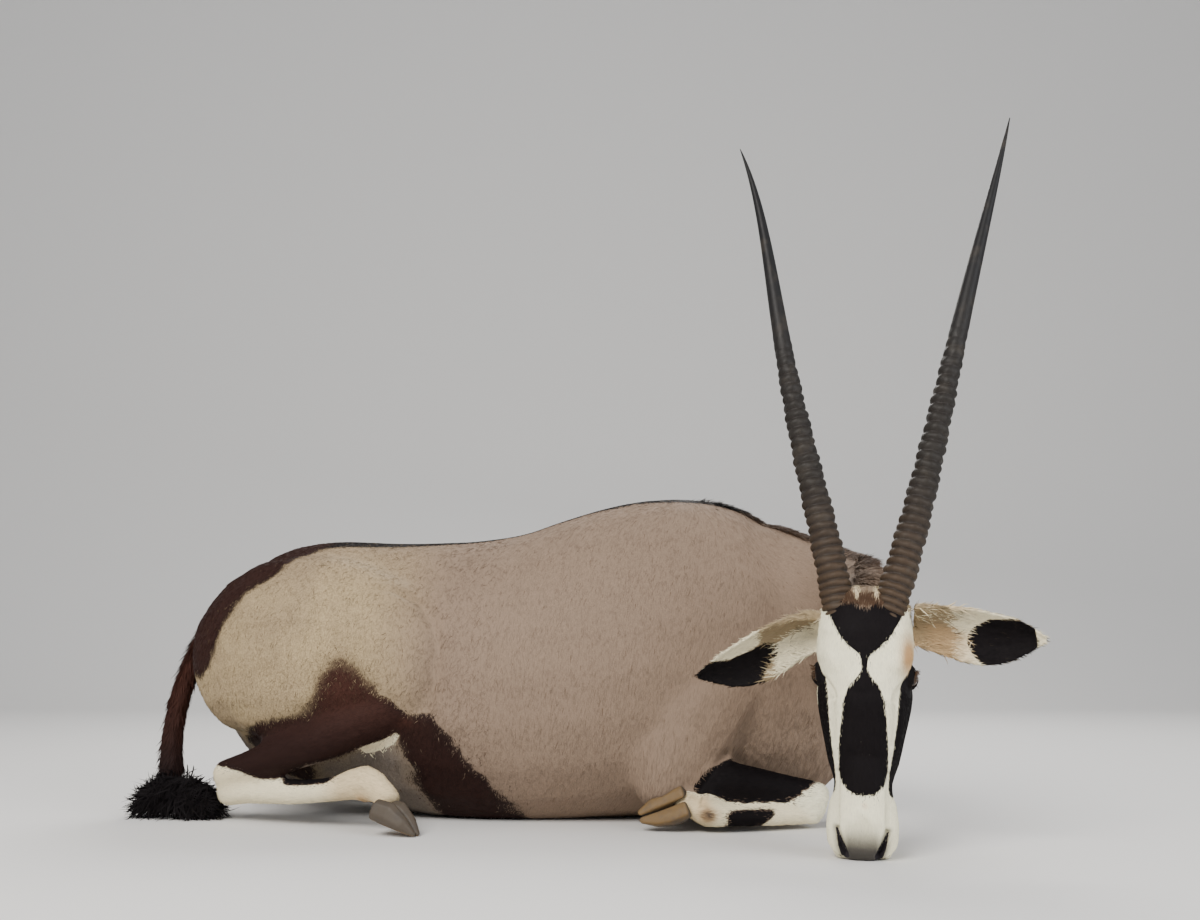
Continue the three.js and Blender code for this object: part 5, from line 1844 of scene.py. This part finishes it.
@dataclass
class TailTuft:
    """The bushy black end of the tail: a dark core and long curling locks that lie over the floor."""

    finish: Material
    locks: int = 2600
    step: float = 3.0 * MM
    core_depth: float = 3.6 * MM
    core_triangles: int = 12000
    lock: TuftShape = TuftShape(36, 3.4, 0.9, 0.55, 0.7, 0.5, 3)

    def build(self) -> list[Thing]:
        """Builds the core and its locks.

        Returns:
            Both pieces.
        """
        low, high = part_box("tail_tuft")
        grid = Field.around(np.array(low) - MARGIN, np.array(high) + MARGIN, self.step)
        values = grid.soften(grid.measure(*node_mesh("tail_tuft"), 0.05), 5.0 * MM)
        points, quads = grid.surface(values, -self.core_depth)
        points[:, 2] = np.maximum(points[:, 2], OFF_FLOOR)
        core = fewer_faces(build_object("tuft_core", points, quads), self.core_triangles)
        points, faces, normals = mesh_arrays(core)
        for key in STORED + ("tone",):
            set_numbers(core.data, key, np.full(len(points), {"dark": 1.0, "tone": 0.4}.get(key, 0.0)))
        middle = np.array([(low.x + high.x) / 2, (low.y + high.y) / 2, 0.03])
        out = points - middle
        out[:, 2] *= 0.25
        out -= (out * normals).sum(1, keepdims=True) * normals
        lie = unit(out + np.array([0, 0, -0.004]))
        core.data.materials.append(self.finish)
        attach(core, BODY)
        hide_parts("tail_tuft")
        weight = 0.15 + ease(normals[faces[:, 0], 2], -0.4, 0.3)
        place = scatter(points, faces, weight, self.locks, np.random.default_rng(120))
        roots, normals, lie = (blend(values, *place) for values in (points, normals, lie))
        marks = {key: np.full(self.locks, float(key == "dark")) for key in STORED}
        tufts = Tufts("tuft_locks", 121)
        tufts.add(roots, unit(normals), unit(lie), marks, self.lock, drop=0.1)
        return [core, tufts.build(self.finish, "tail_hair")]


# Horns, eyes, claws


@dataclass
class Horn:
    """A long ringed horn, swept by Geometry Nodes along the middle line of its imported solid."""

    side: Side
    finish: Material
    rings: int = 56
    ring_height: float = 3.0 * MM
    stations: int = 900
    around: int = 40
    clear: float = 34 * MM

    @property
    def node(self) -> str:
        """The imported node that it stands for."""
        return f"horn_{self.side.name.lower()}"

    def middle_line(self) -> tuple[Array, Array]:
        """Reads the solid's middle line.

        Returns:
            Points from the base to the tip, and the mean radius at each.
        """
        points, _ = node_mesh(self.node)
        low, high = points[:, 2].min(), points[:, 2].max()
        base = np.percentile(points[:, 2], 2) + self.clear
        levels = np.linspace(max(low, base), high, 34)
        middles, radii = [], []
        for a, b in zip(levels[:-1], levels[1:]):
            slab = points[(points[:, 2] >= a - 0.012) & (points[:, 2] <= b + 0.012)]
            if len(slab) < 6:
                continue
            centre = (slab[:, :2].min(0) + slab[:, :2].max(0)) / 2
            middles.append([centre[0], centre[1], (a + b) / 2])
            level = slab[np.abs(slab[:, 2] - (a + b) / 2) < 0.02]
            radii.append(np.linalg.norm(level[:, :2] - centre, axis=1).mean() if len(level) else 0.004)
        return np.array(middles), np.array(radii)

    def smooth_line(self) -> Array:
        """Fits a smooth line through the middle, from a little below the base to the tip.

        Returns:
            Points along the line.
        """
        middles, _ = self.middle_line()
        tip = node_mesh(self.node)[0]
        tip = tip[tip[:, 2].argmax()]
        height = middles[:, 2]
        z = np.linspace(height[0] - self.clear - 0.03, tip[2], 120)
        scale = (height - height[0]) / (tip[2] - height[0])
        share = (z - height[0]) / (tip[2] - height[0])
        heavy = np.append(np.ones(len(scale)), 12.0)
        places = np.append(scale, 1.0)
        fits = [np.polyfit(places, np.append(middles[:, k], tip[k]), 4, w=heavy) for k in (0, 1)]
        return np.stack([*(np.polyval(fit, share) for fit in fits), z], 1)

    def tree(self) -> bpy.types.NodeTree:
        """Builds the node tree that sweeps a ringed tube along a line.

        Returns:
            The node tree.
        """
        tree = bpy.data.node_groups.new(f"ringed horn {self.side.name.lower()}", "GeometryNodeTree")
        sockets = tree.interface
        sockets.new_socket("Geometry", in_out="INPUT", socket_type="NodeSocketGeometry")
        for name in ("Base Radius", "Ring Height", "Ring Count"):
            sockets.new_socket(name, in_out="INPUT", socket_type="NodeSocketFloat")
        for name in ("Stations", "Around"):
            sockets.new_socket(name, in_out="INPUT", socket_type="NodeSocketInt")
        sockets.new_socket("Geometry", in_out="OUTPUT", socket_type="NodeSocketGeometry")

        def node(kind: str, settings: dict, values: dict) -> bpy.types.Node:
            """Adds a node."""
            return add_node(tree, kind, settings, values)

        def maths(operation: str, *values: object) -> bpy.types.NodeSocket:
            """Adds a Math node."""
            return node("ShaderNodeMath", {"operation": operation}, dict(enumerate(values))).outputs[0]

        given = node("NodeGroupInput", {}, {}).outputs
        line = node("GeometryNodeMeshToCurve", {}, {"Mesh": given["Geometry"]}).outputs[0]
        line = node("GeometryNodeResampleCurve", {}, {"Curve": line, "Count": given["Stations"]}).outputs[0]
        run = node("GeometryNodeSplineParameter", {}, {}).outputs["Factor"]
        taper = node("ShaderNodeFloatCurve", {}, {"Value": run})
        curve = taper.mapping.curves[0]
        curve.points[0].location = (0.0, 1.0)
        curve.points[1].location = (1.0, 0.03)
        for place in ((0.05, 0.985), (0.25, 0.84), (0.5, 0.62), (0.75, 0.39), (0.93, 0.165)):
            curve.points.new(*place)
        taper.mapping.update()
        radius = maths("MULTIPLY", taper.outputs[0], given["Base Radius"])
        packed = maths("POWER", run, 0.86)
        turns = maths("MULTIPLY", maths("MULTIPLY", packed, given["Ring Count"]), 2 * math.pi)
        wobble = node("ShaderNodeTexNoise", {"noise_dimensions": "1D"}, {"W": run, "Scale": 22.0})
        turns = maths("ADD", turns, maths("MULTIPLY", wobble.outputs[0], 2.6))
        wave = maths("ADD", maths("MULTIPLY", maths("SINE", turns), 0.5), 0.5)
        wave = maths("POWER", wave, 0.55)
        fade = node("ShaderNodeMapRange", {"interpolation_type": "SMOOTHSTEP"},
                    {"Value": run, "From Min": 0.4, "From Max": 0.6, "To Min": 1.0, "To Max": 0.0}).outputs[0]
        ring = maths("MULTIPLY", maths("MULTIPLY", wave, fade), given["Ring Height"])
        sunk = maths("SUBTRACT", ring, maths("MULTIPLY", fade, maths("MULTIPLY", given["Ring Height"], 0.6)))
        radius = maths("ADD", radius, sunk)
        store = node("GeometryNodeStoreNamedAttribute", {"data_type": "FLOAT", "domain": "POINT"},
                     {"Geometry": line, "Name": "run", "Value": run}).outputs[0]
        store = node("GeometryNodeStoreNamedAttribute", {"data_type": "FLOAT", "domain": "POINT"},
                     {"Geometry": store, "Name": "ring", "Value": wave}).outputs[0]
        sized = node("GeometryNodeSetCurveRadius", {}, {"Curve": store, "Radius": radius}).outputs[0]
        circle = node("GeometryNodeCurvePrimitiveCircle", {}, {"Resolution": given["Around"], "Radius": 1.0})
        tube = node("GeometryNodeCurveToMesh", {},
                    {"Curve": sized, "Profile Curve": circle.outputs[0], "Fill Caps": True})
        if "Scale" in tube.inputs:
            feed(tree, tube.inputs["Scale"], node("GeometryNodeInputRadius", {}, {}).outputs[0])
        tube = node("GeometryNodeSetShadeSmooth", {}, {"Geometry": tube.outputs[0], "Shade Smooth": True})
        real = node("GeometryNodeRealizeInstances", {}, {"Geometry": tube.outputs[0]}).outputs[0]
        dressed = node("GeometryNodeSetMaterial", {}, {"Geometry": real, "Material": self.finish}).outputs[0]
        node("NodeGroupOutput", {}, {0: dressed})
        return tree

    def build(self) -> Thing:
        """Sweeps the horn.

        Returns:
            The horn.
        """
        line = self.smooth_line()
        base_radius = float(np.median(self.middle_line()[1][:4]))
        mesh = bpy.data.meshes.new(self.node + "_sheath")
        mesh.from_pydata(line.tolist(), [(k, k + 1) for k in range(len(line) - 1)], [])
        horn = placed(self.node + "_sheath", mesh)
        sweep = horn.modifiers.new("sweep", "NODES")
        sweep.node_group = self.tree()
        given = {item.name: item.identifier for item in sweep.node_group.interface.items_tree
                 if item.in_out == "INPUT"}
        sweep[given["Base Radius"]] = base_radius
        sweep[given["Ring Height"]] = self.ring_height
        sweep[given["Ring Count"]] = float(self.rings)
        sweep[given["Stations"]] = self.stations
        sweep[given["Around"]] = self.around
        made_plain(horn)
        self.weather(horn)
        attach(horn, BODY)
        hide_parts(self.node)
        log.info("%s: base radius %.4f, %d points", horn.name, base_radius, len(horn.data.vertices))
        return horn

    def weather(self, horn: Thing) -> None:
        """Makes the rings uneven around the horn, as growth leaves them.

        Args:
            horn: the swept horn, changed in place.
        """
        points, _, normals = mesh_arrays(horn)
        run = np.empty(len(points), np.float32)
        horn.data.attributes["run"].data.foreach_get("value", run)
        angle = np.arctan2(normals[:, 1], normals[:, 0])
        phase = 2.0 * self.side.value
        uneven = np.sin(angle * 2 + points[:, 2] * 90 + phase) + 0.7 * np.sin(angle * 5 - points[:, 2] * 260)
        points += normals * (0.8 * MM * uneven * ease(run, 0.62, 0.4))[:, None]
        move_points(horn.data, points)


@dataclass
class Eye:
    """A wet dark eyeball with a level slot of a pupil, as large as its packed ball."""

    side: Side
    finish: Material
    rows: int = 48
    bulge: float = 0.9 * MM
    look: tuple = (0.94, 0.34)
    pupil_half: tuple = (0.34, 0.13)

    def build(self) -> Thing:
        """Builds the eyeball.

        Returns:
            The eyeball.
        """
        name = f"eye_{self.side.name.lower()}"
        low, high = (np.array(corner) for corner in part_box(name))
        centre, radius = (low + high) / 2, float((high - low).max() / 2)
        turned, ahead = self.look
        look = AXES.directions([self.side.value * turned, ahead, 0.0], head=True)
        level = AXES.directions([self.side.value * -ahead, turned, 0.0], head=True)
        mesh = bmesh.new()
        bmesh.ops.create_uvsphere(mesh, u_segments=self.rows * 2, v_segments=self.rows, radius=radius)
        data = bpy.data.meshes.new(name + "_ball")
        mesh.to_mesh(data)
        mesh.free()
        ball = placed(name + "_ball", data)
        points, _, _ = mesh_arrays(ball)
        out = unit(points.astype(float))
        axes = look, level, np.cross(look, level)
        forward, sideways, height = (out @ unit(axis[None])[0] for axis in axes)
        cornea = ease(forward, 0.7, 0.92)
        move_points(data, points * (1 + cornea[:, None] * self.bulge / radius) + centre)
        data.polygons.foreach_set("use_smooth", np.full(len(data.polygons), True))
        long, high_half = self.pupil_half
        slot = np.maximum(np.abs(sideways) / long, np.abs(height) / high_half)
        set_numbers(data, "pupil", np.where(forward > 0, np.clip(1.5 - slot, 0, 1), 0))
        set_numbers(data, "white_of_eye", ease(forward, 0.62, 0.45))
        data.update()
        data.materials.append(self.finish)
        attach(ball, BODY)
        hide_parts(name)
        return ball


@dataclass
class Claws:
    """The eight claws, weathered horn with khaki soles."""

    finish: Material
    step: float = 1.2 * MM
    triangles: int = 14000
    fore_sole: tuple = (-0.35, -0.55, 0.0)

    def build(self) -> list[Thing]:
        """Builds the claws.

        Returns:
            One piece for each leg.
        """
        made = []
        for leg in ("fore", "hind"):
            for side in Side:
                word = side.name.lower()
                names = [f"{leg}_claw_outer_{word}", f"{leg}_claw_inner_{word}"]
                made.append(self.pair(f"claws_{leg}_{word}", names))
        return made

    def pair(self, name: str, nodes: list[str]) -> Thing:
        """Builds the two claws of a foot, with the facets of their solids rounded off.

        Args:
            name: the piece's name.
            nodes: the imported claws.

        Returns:
            The piece.
        """
        meshes = []
        for node in nodes:
            low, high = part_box(node)
            grid = Field.around(np.array(low) - SLIM_MARGIN, np.array(high) + SLIM_MARGIN, self.step)
            values = grid.soften(grid.measure(*node_mesh(node), SLIM_MARGIN), 1.6 * MM)
            meshes.append(grid.surface(values, 0.2 * MM))
        points, quads = joined(meshes)
        points[:, 2] = np.maximum(points[:, 2], 0.3 * MM)
        thing = fewer_faces(build_object(name, points, quads), self.triangles)
        _, _, normals = mesh_arrays(thing)
        sole = ease(-normals[:, 2], 0.4, 0.8)
        if "fore" in name:
            sole = ease(normals @ AXES.directions(self.fore_sole), 0.1, 0.5)
        set_numbers(thing.data, "sole", sole)
        thing.data.materials.append(self.finish)
        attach(thing, BODY)
        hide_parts(*nodes)
        return thing


# Studio


@dataclass
class Studio:
    """A pale floor, soft lights, and a camera where the photograph was taken."""

    lens: float = 37.5
    sensor: float = 36.0
    tilt: float = math.radians(8.42)
    camera_place: tuple = (-0.175, -2.415, 0.3141)
    floor_reach: float = 14.0

    def floor(self) -> None:
        """Lays the floor and its far wall with a round foot."""
        mesh = bpy.data.meshes.new("studio_floor")
        r, far, turn = self.floor_reach, 5.5, 1.6
        line = [(-r, 0.0)]
        for k in range(13):
            angle = math.pi / 2 * k / 12
            line.append((far - turn + turn * math.sin(angle), turn - turn * math.cos(angle)))
        line.append((far, 9.0))
        points = [(x, y, z) for x in (-r, r) for y, z in line]
        count = len(line)
        faces = [(k, k + count, k + count + 1, k + 1) for k in range(count - 1)]
        mesh.from_pydata(points, [], faces)
        mesh.polygons.foreach_set("use_smooth", np.full(len(mesh.polygons), True))
        floor = placed("studio_floor", mesh)
        tree = Finish("studio_paper")
        tree.give("Base Color", colour(0.74, 0.73, 0.71))
        tree.give("Roughness", 0.9)
        mesh.materials.append(tree.material)

    def lights(self) -> None:
        """Hangs the soft lights and sets the room's own light."""
        for name, place, size, power, tint in (
            ("key", (-1.6, -3.4, 3.2), 2.6, 235.0, (1.0, 0.965, 0.92)),
            ("fill", (3.2, -2.8, 1.8), 2.8, 90.0, (0.95, 0.97, 1.0)),
            ("back", (0.6, 2.8, 3.4), 2.4, 120.0, (1.0, 0.98, 0.95)),
        ):
            light = bpy.data.lights.new(name, "AREA")
            light.shape = "DISK"
            light.size, light.energy, light.color = size, power, tint
            lamp = placed(name, light)
            lamp.location = place
            aim = Vector((0.0, 0.0, 0.35)) - Vector(place)
            lamp.rotation_euler = aim.to_track_quat("-Z", "Y").to_euler()
        world = bpy.data.worlds.new("room")
        world.use_nodes = True
        world.node_tree.nodes["Background"].inputs["Color"].default_value = colour(0.93, 0.95, 1.0)
        world.node_tree.nodes["Background"].inputs["Strength"].default_value = 0.55
        bpy.context.scene.world = world

    def camera(self) -> None:
        """Sets the camera at the photograph's place and angle."""
        data = bpy.data.cameras.new("photo")
        data.lens, data.sensor_width = self.lens, self.sensor
        data.sensor_fit = "HORIZONTAL"
        camera = placed("photo", data)
        camera.location = np.array(self.camera_place) + AXES.shift
        camera.rotation_euler = (math.pi / 2 + self.tilt, 0.0, 0.0)
        bpy.context.scene.camera = camera

    def build(self) -> None:
        """Sets the whole studio up."""
        self.floor()
        self.lights()
        self.camera()


def main() -> None:
    """Builds the animal and its studio, and logs how many triangles the skin and each coat piece have."""
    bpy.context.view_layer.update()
    skin = Skin()
    skin.build()
    log.info("skin: %d triangles", len(skin.faces))
    coat = Coat(skin)
    coat.build()
    TailTuft(coat.finish).build()
    horn_finish, eye_finish = HornFinish().build(), EyeFinish().build()
    for side in Side:
        Horn(side, horn_finish).build()
        Eye(side, eye_finish).build()
    Claws(ClawFinish().build()).build()
    Studio().build()


if __name__ == "__main__":
    main()
